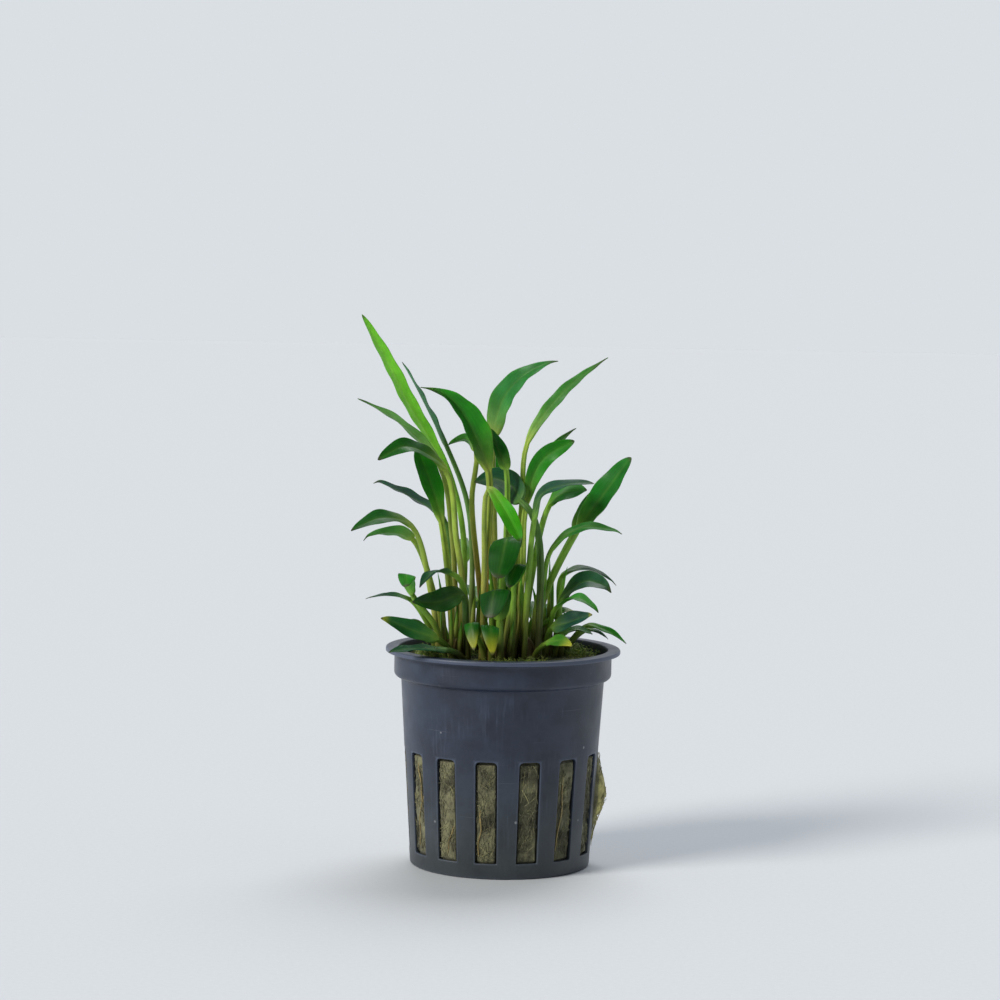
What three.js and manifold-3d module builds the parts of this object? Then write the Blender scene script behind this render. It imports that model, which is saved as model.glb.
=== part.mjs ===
// A potted Cryptocoryne x willisii: seven small plantlets of a narrow-leaved water plant,
// rooted in a plug of rock wool in a slotted plastic pot. Millimetres, +Z up, the front is -Y.
// The origin is the middle of the pot's flat underside.

import * as THREE from 'three';
import { mergeVertices } from 'three/addons/utils/BufferGeometryUtils.js';
import { LoftGeometry } from 'three/addons/geometries/LoftGeometry.js';
import Module from 'manifold-3d';

const toRadians = THREE.MathUtils.degToRad;

// Driving dimensions of the pot
const potHeight = 50;
const rimRadius = 25;
const lipOverhang = 2;
const lipThickness = 1.1;
const bandHeight = 6.6;
const shoulderStep = 1.6;
const potTaper = toRadians( 3.65 );
const wall = 0.9;
const baseThickness = 1.2;

// The slots in the pot's wall, counted round from the front
const slotCount = 14;
const slotWidth = 4.9;
const slotCorner = 1;
const slotBottom = 3.6;
const slotTop = 26.8;
const firstSlot = - 8.6;

// The rock wool, its tongues in the slots and the gap kept between pieces
const woolTop = 47.5;
const woolTongue = - 0.3;
const woolBulge = 2.4;
const bulgingSlot = 4;
const gap = 0.3;

// The plantlets: a crown's size, and the ring that its leaf stalks stand on
const crownRadius = 2.2;
const crownHeight = 5;
const footRing = 3.5;

// A leaf's thickness at the midrib and at its tip
const bladeThickness = 0.6;
const tipThickness = 0.24;

const wasm = await Module();
wasm.setup();

function toSolid( geometry ) {

	const bare = geometry.clone();
	bare.deleteAttribute( 'normal' );
	bare.deleteAttribute( 'uv' );
	const merged = mergeVertices( bare, 1e-4 );
	return new wasm.Manifold( new wasm.Mesh( {
		numProp: 3,
		vertProperties: new Float32Array( merged.attributes.position.array ),
		triVerts: new Uint32Array( merged.index.array )
	} ) );

}

function toGeometry( solid ) {

	const mesh = solid.getMesh();
	const geometry = new THREE.BufferGeometry();
	geometry.setAttribute( 'position', new THREE.BufferAttribute( mesh.vertProperties, 3 ) );
	geometry.setIndex( new THREE.BufferAttribute( mesh.triVerts, 1 ) );
	geometry.computeVertexNormals();
	return geometry;

}

// Matte moulded plastic, damp mineral wool and the greens of the leaves
const materials = {
	pot: new THREE.MeshStandardMaterial( { color: 0x464a58, roughness: 0.55 } ),
	wool: new THREE.MeshStandardMaterial( { color: 0x7d7a4c, roughness: 1 } ),
	crown: new THREE.MeshStandardMaterial( { color: 0x6f6a3c, roughness: 0.8 } ),
	lime: new THREE.MeshStandardMaterial( { color: 0x6fb32e, roughness: 0.45 } ),
	fresh: new THREE.MeshStandardMaterial( { color: 0x3f9a2c, roughness: 0.4 } ),
	deep: new THREE.MeshStandardMaterial( { color: 0x1f6f22, roughness: 0.38 } ),
	dusk: new THREE.MeshStandardMaterial( { color: 0x2c5a47, roughness: 0.45 } ),
	pale: new THREE.MeshStandardMaterial( { color: 0x6fa663, roughness: 0.5 } )
};

const plant = new THREE.Group();

function addPiece( name, geometry, material ) {

	const mesh = new THREE.Mesh( geometry, material );
	mesh.name = name;
	plant.add( mesh );
	return mesh;

}

// The radius of the tapered body's outside, which meets the rim band at the shoulder
const shoulderZ = potHeight - bandHeight;
const bodyTopRadius = rimRadius - shoulderStep;
const bodyRadius = z => bodyTopRadius - ( shoulderZ - z ) * Math.tan( potTaper );

// The pot is one moulding: base, tapered body, rounded shoulder, rim band and out-turned lip.
// Its profile goes up the outside, over the lip and down the inside, back to the axis.
function potGeometry() {

	const lipRadius = rimRadius + lipOverhang;
	const lipUnder = potHeight - lipThickness;
	const rim = rimRadius - wall;
	const profile = [
		[ 0, 0 ],
		[ bodyRadius( 0 ) - 0.7, 0 ],
		[ bodyRadius( 0.7 ), 0.7 ],
		[ bodyRadius( shoulderZ - 0.5 ), shoulderZ - 0.5 ],
		[ rimRadius - 0.6, shoulderZ ],
		[ rimRadius, shoulderZ + 0.9 ],
		[ rimRadius, lipUnder - 0.5 ],
		[ lipRadius - 0.2, lipUnder ],
		[ lipRadius, potHeight - 0.4 ],
		[ lipRadius - 0.5, potHeight ],
		[ rim + 0.3, potHeight ],
		[ rim, potHeight - 0.5 ],
		[ rim, shoulderZ + 1 ],
		[ bodyRadius( shoulderZ - 0.5 ) - wall, shoulderZ - 0.6 ],
		[ bodyRadius( baseThickness ) - wall, baseThickness ],
		[ 0, baseThickness ]
	];
	const points = profile.map( ( [ r, z ] ) => new THREE.Vector2( r, z ) );
	const shell = new THREE.LatheGeometry( points, 3 * slotCount );
	shell.rotateX( Math.PI / 2 );
	return shell;

}

// Turns a piece made about the front of the pot, with +Y pointing outwards, round to its slot
function placeAtSlot( geometry, index ) {

	const angle = toRadians( firstSlot + index * 360 / slotCount );
	geometry.rotateZ( Math.PI + angle );
	return geometry;

}

// A slot's cutter is a rounded upright, pushed through the wall from inside to outside
function slotCutter( index ) {

	const halfWidth = slotWidth / 2;
	const outline = new THREE.Shape();
	outline.moveTo( - halfWidth, slotBottom );
	outline.lineTo( halfWidth, slotBottom );
	outline.lineTo( halfWidth, slotTop - slotCorner );
	outline.absarc( halfWidth - slotCorner, slotTop - slotCorner, slotCorner, 0, Math.PI / 2 );
	outline.absarc( slotCorner - halfWidth, slotTop - slotCorner, slotCorner, Math.PI / 2, Math.PI );
	const depth = 8;
	const cutter = new THREE.ExtrudeGeometry( outline, { depth, bevelEnabled: false, curveSegments: 2 } );
	cutter.rotateX( Math.PI / 2 );
	cutter.translate( 0, bodyRadius( slotBottom ) + depth / 2, 0 );
	return placeAtSlot( cutter, index );

}

let pot = toSolid( potGeometry() );
for ( let i = 0; i < slotCount; i ++ ) {

	pot = pot.subtract( toSolid( slotCutter( i ) ) );

}

addPiece( 'pot', toGeometry( pot ), materials.pot );

// The wool plug fills the pot to just under the lip, with a tongue that fills each slot.
// On the right it swells out of one slot, past the wall.
function woolPlug() {

	const inner = z => bodyRadius( z ) - wall - gap;
	const shoulderFoot = shoulderZ - 0.5;
	const bandRadius = rimRadius - wall - gap - 0.1;
	const profile = [
		[ 0, baseThickness + gap ],
		[ inner( baseThickness ) - 0.8, baseThickness + gap ],
		[ inner( 2.5 ), 2.5 ],
		[ inner( shoulderFoot ) - 0.1, shoulderFoot ],
		[ bandRadius, shoulderFoot + shoulderStep + 0.8 ],
		[ bandRadius, woolTop - 0.6 ],
		[ bandRadius - 1, woolTop ],
		[ 0, woolTop ]
	];
	const points = profile.map( ( [ r, z ] ) => new THREE.Vector2( r, z ) );
	const plug = new THREE.LatheGeometry( points, 2 * slotCount );
	plug.rotateX( Math.PI / 2 );
	return plug;

}

// A tongue is an upright bar with a rounded nose, leaning with the taper of the wall
function woolTongueAt( index ) {

	const halfWidth = slotWidth / 2 - gap - 0.1;
	const proud = index === bulgingSlot ? woolBulge : woolTongue;
	const bottom = slotBottom + gap + 0.1;
	const length = slotTop - gap - 0.4 - bottom;
	const root = - 5;
	const outline = new THREE.Shape();
	outline.moveTo( - halfWidth, root );
	outline.lineTo( halfWidth, root );
	outline.lineTo( halfWidth, proud - 0.7 );
	outline.quadraticCurveTo( halfWidth * 0.8, proud, 0, proud );
	outline.quadraticCurveTo( - halfWidth * 0.8, proud, - halfWidth, proud - 0.7 );
	const tongue = new THREE.ExtrudeGeometry( outline, { depth: length, bevelEnabled: false, curveSegments: 2 } );
	tongue.rotateX( - potTaper );
	tongue.translate( 0, bodyRadius( bottom ), bottom );
	return placeAtSlot( tongue, index );

}

let wool = toSolid( woolPlug() );
for ( let i = 0; i < slotCount; i ++ ) {

	wool = wool.add( toSolid( woolTongueAt( i ) ) );

}

addPiece( 'rock_wool', toGeometry( wool ), materials.wool );

// The share of a blade's full width along its length s, from its stalk (0) to its tip (1):
// it swells quickly from a narrow base and then tapers to a point
function bladeOutline( s, swell, taper ) {

	const shape = p => Math.pow( p, swell ) * Math.pow( 1 - p, taper );
	return shape( s ) / shape( swell / ( swell + taper ) );

}

// A leaf is one sweep along a smooth route from its foot, by its neck, where the stalk turns
// into the blade, to its tip. Its sections are four-cornered: two edges, the upper face and
// the midrib below. roll turns the blade about its own line, from lying flat as it droops,
// and fold lifts its halves. A larger swell makes the blade's base more slender, and a larger
// taper its tip.
function leafGeometry( stalkPoints, bladePoints, width, roll, fold, swell, taper ) {

	const steps = 60;
	const points = stalkPoints.concat( bladePoints );
	const route = new THREE.CatmullRomCurve3( points, false, 'centripetal' );
	route.arcLengthDivisions = steps * ( points.length - 1 );
	const lengths = route.getLengths();
	const neckAt = lengths[ steps * stalkPoints.length ] / lengths[ route.arcLengthDivisions ];

	const foot = points[ 0 ];
	const tip = points[ points.length - 1 ];
	const lean = new THREE.Vector3( tip.x - foot.x, tip.y - foot.y, 0 ).normalize();
	const across = new THREE.Vector3( - lean.y, lean.x, 0 );
	const stalkRadius = 0.44 + 0.045 * width;
	const tail = 0.12;

	const stalkStations = [ 0, 0.3, 0.6, 0.85 ].map( t => t * neckAt );
	const bladeStations = [ 0, 0.05, 0.14, 0.28, 0.42, 0.56, 0.7, 0.82, 0.92, 1 ];
	const stations = stalkStations.concat( bladeStations.map( s => neckAt + s * ( 1 - neckAt ) ) );

	const sections = stations.map( at => {

		const along = at === 0 ? new THREE.Vector3( 0, 0, 1 ) : route.getTangentAt( at );
		const side = across.clone().addScaledVector( along, - along.dot( across ) ).normalize();
		const up = along.clone().cross( side );
		const edgeway = side.clone().multiplyScalar( Math.cos( roll ) ).addScaledVector( up, Math.sin( roll ) );
		const faceway = up.clone().multiplyScalar( Math.cos( roll ) ).addScaledVector( side, - Math.sin( roll ) );

		const s = THREE.MathUtils.clamp( ( at - neckAt ) / ( 1 - neckAt ), 0, 1 );
		const stalk = stalkRadius * ( 1 + 0.15 * Math.sin( Math.PI * Math.min( 1, at / neckAt ) ) );
		const blade = ( width / 2 ) * bladeOutline( s, swell, taper );
		const halfWidth = blade * Math.cos( fold ) + Math.max( stalk * ( 1 - s / 0.3 ), tail );
		const thickness = THREE.MathUtils.lerp( 2 * stalk, bladeThickness, Math.min( 1, s / 0.28 ) );
		const halfThickness = THREE.MathUtils.lerp( thickness, tipThickness, s * s * s ) / 2;
		const lift = blade * Math.sin( fold );

		const middle = route.getPointAt( at ).addScaledVector( faceway, - lift / 2 );
		const corner = ( a, b ) => middle.clone().addScaledVector( edgeway, a ).addScaledVector( faceway, b );
		return [
			corner( halfWidth, lift ),
			corner( 0, halfThickness ),
			corner( - halfWidth, lift ),
			corner( 0, - halfThickness )
		];

	} );

	const loft = new LoftGeometry( sections, { closed: true, capStart: true, capEnd: true } );
	return new THREE.BufferGeometry().copy( loft );

}

// A crown is the short rootstock that a plantlet's leaves rise from: a stub with a domed top
function crownGeometry() {

	const profile = [
		[ 0, 0 ],
		[ crownRadius, 0 ],
		[ crownRadius * 0.9, crownHeight * 0.45 ],
		[ crownRadius * 0.6, crownHeight * 0.85 ],
		[ 0, crownHeight ]
	];
	const points = profile.map( ( [ r, z ] ) => new THREE.Vector2( r, z ) );
	const crown = new THREE.LatheGeometry( points, 8 );
	crown.rotateX( Math.PI / 2 );
	return crown;

}

// One leaf's row: its name, its green, the bearing of its foot on the crown's ring (0 is
// right, 90 is back), its blade's shape with any points on its stalk, then the points of
// its blade from the neck to the tip
function leaf( name, green, bearing, shape, ...blade ) {

	return { name, green, bearing, shape, blade };

}

// A plantlet stands on the wool: its crown, and its leaves in a ring about it. A leaf with
// no points on its stalk first rises, then bends over towards its neck.
function addPlantlet( plantlet, [ x, y ], leaves ) {

	const ground = woolTop + gap;
	const crown = addPiece( 'crown_' + plantlet, crownGeometry(), materials.crown );
	crown.position.set( x, y, ground );
	for ( const { name, green, bearing, shape, blade } of leaves ) {

		const { width, roll, fold = 14, swell = 0.62, taper = 0.95, stalk } = shape;
		const angle = toRadians( bearing );
		const foot = new THREE.Vector3(
			x + footRing * Math.cos( angle ),
			y + footRing * Math.sin( angle ),
			ground
		);
		const bladePoints = blade.map( p => new THREE.Vector3( ...p ) );
		const rise = bladePoints[ 0 ].clone().sub( foot );
		const bend = foot.clone().add( new THREE.Vector3( 0.3 * rise.x, 0.3 * rise.y, 0.48 * rise.z ) );
		const stalkPoints = stalk ? stalk.map( p => new THREE.Vector3( ...p ) ) : [ bend ];
		stalkPoints.unshift( foot );
		const geometry = leafGeometry(
			stalkPoints, bladePoints, width, toRadians( roll ), toRadians( fold ), swell, taper
		);
		addPiece( 'leaf_' + name, geometry, materials[ green ] );

	}

}

addPlantlet( 'left', [ - 11.5, - 4 ], [
	leaf( 'front_strap', 'dusk', 24, { width: 4, roll: 0, stalk: [ [ - 9.5, - 5.5, 65 ] ] },
		[ - 12.5, - 8.5, 68 ], [ - 16.2, - 12.5, 68.5 ], [ - 19, - 15, 65.3 ] ),
	leaf( 'left_arching', 'deep', 56,
		{ width: 4.8, roll: - 42, taper: 0.75, stalk: [ [ - 9.6, - 3.2, 66 ], [ - 11, - 4.4, 75 ] ] },
		[ - 13.8, - 4.8, 91 ], [ - 22.5, - 8, 96.5 ], [ - 29, - 10, 93.5 ] ),
	leaf( 'left_inner', 'fresh', 90, { width: 5.8, roll: - 75, swell: 0.9, taper: 0.6 },
		[ - 14.6, - 2.6, 79 ], [ - 16.9, - 2.6, 87.5 ], [ - 20.3, - 2.6, 96 ] ),
	leaf( 'left_drooping_small', 'pale', 123, { width: 4, roll: 30 },
		[ - 21, - 7, 75.3 ], [ - 26, - 9, 77.2 ], [ - 32, - 10, 75.8 ] ),
	leaf( 'left_thin_arch', 'dusk', 153, { width: 3, roll: 5 },
		[ - 21.5, - 6, 61.5 ], [ - 26.5, - 6, 62.5 ], [ - 31.5, - 6, 61.5 ] ),
	leaf( 'left_low_small', 'deep', 182, { width: 3, roll: - 20 },
		[ - 17.5, - 6.3, 55 ], [ - 19.7, - 7.8, 56.6 ], [ - 22, - 9, 56.2 ] ),
	leaf( 'left_drooping', 'deep', 214, { width: 4.6, roll: - 30 },
		[ - 21, - 11, 78.5 ], [ - 27.5, - 14, 80.8 ], [ - 34.5, - 17, 78 ] ),
	leaf( 'left_rolled', 'fresh', 246, { width: 4, roll: 0, fold: - 15, taper: 0.5 },
		[ - 20.8, - 13, 63.5 ], [ - 21.8, - 17, 68 ], [ - 21.8, - 20, 66 ] ),
	leaf( 'left_low', 'dusk', 280, { width: 4.4, roll: - 55 },
		[ - 15, - 13, 53.3 ], [ - 21.5, - 15.5, 56 ], [ - 27.5, - 18, 58.6 ] ),
	leaf( 'left_rim', 'dusk', 319, { width: 4.5, roll: - 20 },
		[ - 13, - 17.8, 51.5 ], [ - 20, - 21, 52.2 ], [ - 25.5, - 22.5, 51.5 ] ),
	leaf( 'front_broad', 'deep', 350, { width: 5.4, roll: - 60 },
		[ - 9.5, - 7.5, 62.7 ], [ - 15, - 13, 61.7 ], [ - 20.5, - 18, 62.3 ] )
] );

addPlantlet( 'left_back', [ - 7, 6.5 ], [
	leaf( 'pale_small', 'pale', 30,
		{ width: 3.2, roll: 40, stalk: [ [ - 5.9, 8.6, 65 ], [ - 7.8, 8.6, 83 ] ] },
		[ - 7, 9, 94.5 ], [ - 9.3, 9, 97.5 ], [ - 13.5, 9, 96 ] ),
	leaf( 'rear_left_low', 'deep', 68, { width: 4.5, roll: 0 },
		[ - 5.5, 13, 59 ], [ - 7, 20, 62 ], [ - 6.5, 27, 56 ] ),
	leaf( 'thin_upright', 'dusk', 106,
		{ width: 3, roll: 20, stalk: [ [ - 7.5, 10.4, 70 ], [ - 9, 10.5, 83 ] ] },
		[ - 14, 10.4, 95.7 ], [ - 20, 10, 107.5 ], [ - 24.5, 10, 115 ] ),
	leaf( 'rear_left_arch', 'deep', 145, { width: 4.5, roll: 0 },
		[ - 9.5, 14.5, 68 ], [ - 11, 21, 73 ], [ - 11.5, 29, 67 ] ),
	leaf( 'tall_spear', 'lime', 180,
		{ width: 3.6, roll: 50, swell: 1, taper: 0.8, stalk: [ [ - 9.3, 6, 62 ], [ - 9.5, 6.2, 74 ] ] },
		[ - 11.9, 6.3, 86 ], [ - 17, 6.1, 96.5 ], [ - 22.4, 4.5, 105.5 ], [ - 26.5, 3, 113.5 ],
		[ - 33.5, 1, 126 ] ),
	leaf( 'left_dark', 'dusk', 212,
		{ width: 3.8, roll: 35, swell: 0.8, stalk: [ [ - 11.1, 3.6, 61 ], [ - 12.5, 3, 71 ] ] },
		[ - 14.2, 2.1, 79.3 ], [ - 21.5, 3, 84.3 ], [ - 30.5, 4, 88 ] ),
	leaf( 'left_upper_narrow', 'pale', 250,
		{ width: 2.9, roll: 35, swell: 0.75, taper: 1.2, stalk: [ [ - 10.9, 1.6, 60.5 ], [ - 12, 0.8, 74.5 ] ] },
		[ - 15.2, 0.2, 91.5 ], [ - 24, - 2, 101.4 ], [ - 34, - 4, 107 ] )
] );

addPlantlet( 'front', [ - 1.5, - 6 ], [
	leaf( 'centre_folded', 'fresh', 150, { width: 7.5, roll: - 70, fold: 30, swell: 1.1, taper: 1.9 },
		[ - 4, - 3, 90.5 ], [ - 8.4, - 5, 102.4 ], [ - 13.6, - 6.6, 108 ], [ - 19.7, - 8, 110 ] ),
	leaf( 'front_lime', 'lime', 190, { width: 3.8, roll: 40, swell: 0.8, taper: 0.6 },
		[ - 4, - 9, 87 ], [ 0, - 12, 82.5 ], [ 3.5, - 14, 76 ] ),
	leaf( 'rim_front_left', 'deep', 222, { width: 3.4, roll: 0, fold: - 12, taper: 0.8 },
		[ - 5.9, - 12, 54 ], [ - 7.2, - 16, 57.3 ], [ - 6.5, - 20, 52 ] ),
	leaf( 'rim_front_right', 'deep', 252, { width: 4, roll: 0, fold: - 12, taper: 0.8 },
		[ - 2.7, - 12.5, 53.5 ], [ - 3, - 18, 56.9 ], [ - 2.3, - 22, 51.2 ] ),
	leaf( 'front_low', 'deep', 285, { width: 7, roll: 0, fold: - 12, taper: 0.5 },
		[ - 1, - 9.5, 57.5 ], [ - 2, - 13, 64.3 ], [ - 3, - 17.5, 59 ] ),
	leaf( 'front_hanging_small', 'deep', 5, { width: 4.3, roll: 0, fold: - 10, taper: 0.6 },
		[ 2.2, - 6.5, 65.5 ], [ 2.7, - 10, 70 ], [ 1, - 13.5, 65.5 ] ),
	leaf( 'front_hanging', 'deep', 80, { width: 7, roll: 0, fold: - 10, taper: 0.5 },
		[ 0, - 4.2, 71 ], [ 0.5, - 10.5, 76 ], [ - 1.5, - 18, 68 ] )
] );

addPlantlet( 'middle', [ - 1, 2.5 ], [
	leaf( 'centre_inner', 'deep', 290, { width: 4, roll: - 50, fold: 30, stalk: [ [ 0.3, - 1.6, 72 ] ] },
		[ 0, - 1.5, 91 ], [ - 2, 0.2, 96.2 ], [ - 4, 0.5, 100.5 ] ),
	leaf( 'rear_middle', 'deep', 60, { width: 4, roll: 0 },
		[ - 1.9, 9, 63.5 ], [ - 1.9, 15, 67.5 ], [ - 1.7, 22, 61 ] ),
	leaf( 'centre_tall', 'fresh', 110, { width: 6, roll: 70, swell: 0.7, taper: 1.4 },
		[ - 3, 6, 98 ], [ - 1.3, 5, 106.5 ], [ 3.3, 3, 112.3 ], [ 11.5, 1, 116.5 ] )
] );

addPlantlet( 'right', [ 5.5, - 2 ], [
	leaf( 'right_low', 'deep', 15, { width: 5.5, roll: 45 },
		[ 11.3, - 7, 55.7 ], [ 15, - 10, 57.5 ], [ 20, - 12, 59.5 ] ),
	leaf( 'right_arching', 'fresh', 45, { width: 2.8, roll: 40, swell: 0.7, taper: 1.1 },
		[ 10.6, - 3.6, 73 ], [ 17.5, - 6, 78.5 ], [ 26.5, - 8, 78 ] ),
	leaf( 'right_tall_narrow', 'pale', 170,
		{ width: 2.8, roll: 45, swell: 0.9, taper: 1.4, stalk: [ [ 2.9, - 0.1, 66 ], [ 3.8, 1.6, 84 ] ] },
		[ 4.8, 2.5, 97 ], [ 12.8, 4, 108.8 ], [ 23, 5, 117 ] ),
	leaf( 'right_upper', 'fresh', 205,
		{ width: 4.2, roll: 65, swell: 1, taper: 0.75, stalk: [ [ 4.1, - 1.7, 66 ] ] },
		[ 4.7, - 0.1, 83 ], [ 8.2, 0, 93.2 ], [ 15.5, 0.5, 98 ] ),
	leaf( 'right_strap', 'dusk', 258, { width: 4.5, roll: 25, swell: 0.85 },
		[ 6.5, - 7, 80 ], [ 8, - 6, 85.8 ], [ 13.5, - 6, 88.3 ], [ 20, - 7, 88.8 ] ),
	leaf( 'right_yellowing', 'deep', 290, { width: 3, roll: 40 },
		[ 10, - 11, 52.6 ], [ 12.5, - 14, 53.6 ], [ 15.5, - 17, 52.8 ] ),
	leaf( 'centre_shaded', 'dusk', 318,
		{ width: 6.5, roll: - 85, stalk: [ [ 7.8, - 4.4, 75 ], [ 5.8, - 4, 81.6 ] ] },
		[ 3.5, - 2.8, 84 ], [ 1.3, 1.5, 87 ], [ - 2.5, 3.5, 88.6 ], [ - 7.3, 4.7, 87.8 ] )
] );

addPlantlet( 'right_back', [ 3.5, 8.5 ], [
	leaf( 'rear_right_tall', 'deep', 25, { width: 4.2, roll: 60 },
		[ 16.3, 10, 76.3 ], [ 20.7, 16, 83 ], [ 24.8, 21, 87 ] ),
	leaf( 'rear_right_low', 'deep', 60, { width: 4.5, roll: 0 },
		[ 7, 14, 55 ], [ 9, 20, 58 ], [ 10, 27, 53 ] ),
	leaf( 'rear_right_arch', 'deep', 93, { width: 5, roll: 0 },
		[ 4, 16, 63.5 ], [ 4.5, 23, 67.5 ], [ 3, 31, 61 ] ),
	leaf( 'rear_tall', 'fresh', 125, { width: 4.5, roll: 0 },
		[ 0.6, 12.5, 79 ], [ - 3, 16, 92 ], [ - 4, 20, 103 ] ),
	leaf( 'right_upper_behind', 'pale', 250, { width: 1.8, roll: 40 },
		[ 6.5, 5, 90.3 ], [ 10.5, 6, 95.6 ], [ 16, 7, 100.5 ] ),
	leaf( 'right_short', 'deep', 285, { width: 5.2, roll: 50, swell: 0.85 },
		[ 10, - 1, 83 ], [ 13, - 2, 86 ], [ 18.5, - 3, 87 ] ),
	leaf( 'right_large', 'deep', 330, { width: 5.9, roll: 65, taper: 0.7 },
		[ 17, 3, 77.5 ], [ 22.5, 1, 86 ], [ 28.5, - 1, 94.5 ] )
] );

addPlantlet( 'far_right', [ 10.5, 4 ], [
	leaf( 'rim_right_small', 'dusk', 22, { width: 2, roll: 10 },
		[ 19.5, 9, 53.3 ], [ 22, 10, 52.8 ], [ 24.5, 10, 51.2 ] ),
	leaf( 'right_thin', 'dusk', 55, { width: 4, roll: 5 },
		[ 13.5, 8, 66 ], [ 19.5, 8, 67.8 ], [ 26, 7, 64.5 ] ),
	leaf( 'right_low_olive', 'deep', 175, { width: 3.5, roll: 20, stalk: [ [ 7.3, 4.4, 53 ] ] },
		[ 11.5, 4.7, 56.6 ], [ 14, 4.2, 58.3 ], [ 17, 3.7, 57.7 ] ),
	leaf( 'right_lower_arch', 'fresh', 258, { width: 3.4, roll: 20, swell: 0.85 },
		[ 12, - 4.5, 60 ], [ 16.5, - 7, 62.7 ], [ 21.5, - 9, 60 ] ),
	leaf( 'right_lowest', 'deep', 290, { width: 3.5, roll: 20 },
		[ 13, - 1.5, 53 ], [ 16.5, - 1.5, 54.7 ], [ 20.5, - 1, 53.7 ] ),
	leaf( 'right_middle', 'dusk', 322, { width: 6, roll: 45, swell: 0.85 },
		[ 13, 1, 60.5 ], [ 18.5, - 1.5, 66 ], [ 24.5, - 4, 64.5 ] ),
	leaf( 'rim_right', 'fresh', 352, { width: 2.2, roll: 20 },
		[ 19.5, 3, 55 ], [ 24, 3, 54 ], [ 28.5, 4, 51 ] )
] );

export default plant;
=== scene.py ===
# A potted Cryptocoryne x willisii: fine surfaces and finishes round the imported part.
# Sizes are millimetres until a mesh is made. The front is -Y and the pot stands on Z = 0.
import math

import bmesh
import bpy
import numpy as np
from mathutils import Matrix, Vector


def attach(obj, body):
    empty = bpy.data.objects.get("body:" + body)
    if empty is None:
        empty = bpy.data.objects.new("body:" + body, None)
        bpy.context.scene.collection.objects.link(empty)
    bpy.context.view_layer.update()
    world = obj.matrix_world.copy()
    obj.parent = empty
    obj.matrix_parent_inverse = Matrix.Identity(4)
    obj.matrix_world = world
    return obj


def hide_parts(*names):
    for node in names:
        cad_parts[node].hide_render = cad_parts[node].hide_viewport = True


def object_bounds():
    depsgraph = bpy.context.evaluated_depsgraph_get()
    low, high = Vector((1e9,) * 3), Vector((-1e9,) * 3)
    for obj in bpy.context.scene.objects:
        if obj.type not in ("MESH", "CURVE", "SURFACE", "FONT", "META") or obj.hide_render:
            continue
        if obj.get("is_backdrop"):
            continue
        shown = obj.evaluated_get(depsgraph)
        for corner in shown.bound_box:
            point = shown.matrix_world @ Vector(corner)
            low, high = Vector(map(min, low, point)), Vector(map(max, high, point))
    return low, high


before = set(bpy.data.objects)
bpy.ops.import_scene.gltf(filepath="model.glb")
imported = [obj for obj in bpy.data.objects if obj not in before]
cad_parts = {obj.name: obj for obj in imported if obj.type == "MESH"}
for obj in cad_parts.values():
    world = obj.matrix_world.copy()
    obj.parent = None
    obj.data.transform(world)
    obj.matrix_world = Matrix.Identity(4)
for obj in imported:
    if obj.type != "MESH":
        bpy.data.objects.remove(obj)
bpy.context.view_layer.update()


# The table is a wide sheet of pale matte board in a small studio, with one broad soft light from
# the front left and a wider one above and behind that shines through the leaves. The camera stands
# 700 mm in front, a little above, and leans one degree to the side.
MM = 0.001


def linear(code):
    """The linear red, green and blue of an sRGB hex colour, by the sRGB curve, with alpha 1."""
    shares = np.array([int(code[i : i + 2], 16) for i in (1, 3, 5)]) / 255
    curve = np.where(shares <= 0.04045, shares / 12.92, ((shares + 0.055) / 1.055) ** 2.4)
    return (*curve, 1.0)


def add_node(tree, kind, inputs=(), stops=(), **settings):
    """Adds a shader node of this kind with its settings, and its colour stops as (place, colour). An
    input is a value to set, a socket to link, or a node whose first live output is linked."""
    made = tree.nodes.new("ShaderNode" + kind)
    for name, value in settings.items():
        setattr(made, name, value)
    for key, value in dict(inputs).items():
        if isinstance(value, bpy.types.Node):
            value = next(socket for socket in value.outputs if socket.enabled)
        if isinstance(value, bpy.types.NodeSocket):
            tree.links.new(value, made.inputs[key])
        else:
            made.inputs[key].default_value = value
    if stops:
        elements = made.color_ramp.elements
        elements.remove(elements[1])
        elements[0].position, elements[0].color = stops[0]
        for place, colour in stops[1:]:
            elements.new(place).color = colour
    return made


def new_material(name):
    """An empty node material with this name, its node tree, and the object coordinates in metres."""
    material = bpy.data.materials.new(name)
    material.use_nodes = True
    tree = material.node_tree
    tree.nodes.clear()
    return material, tree, add_node(tree, "TexCoord").outputs["Object"]


def finish_material(tree, inputs):
    """Ends a material in one Principled shader with these inputs."""
    shader = add_node(tree, "BsdfPrincipled", inputs)
    add_node(tree, "OutputMaterial", {"Surface": shader})


def per_metre(size):
    """How often a pattern of this size in millimetres comes in a metre, as a node's scale counts."""
    return 1 / (size * MM)


# Uncoated pale board is dead matte, with a faint fibre to it
board, tree, place = new_material("uncoated_board")
fibre = add_node(tree, "TexNoise", {"Vector": place, "Scale": per_metre(1.11), "Detail": 3})
paper = add_node(tree, "ValToRGB", {"Fac": fibre}, ((0.3, linear("#ced3d9")), (0.7, linear("#d1d6dc"))))
finish_material(tree, {"Base Color": paper, "Roughness": 0.95, "Specular IOR Level": 0.1})

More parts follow.
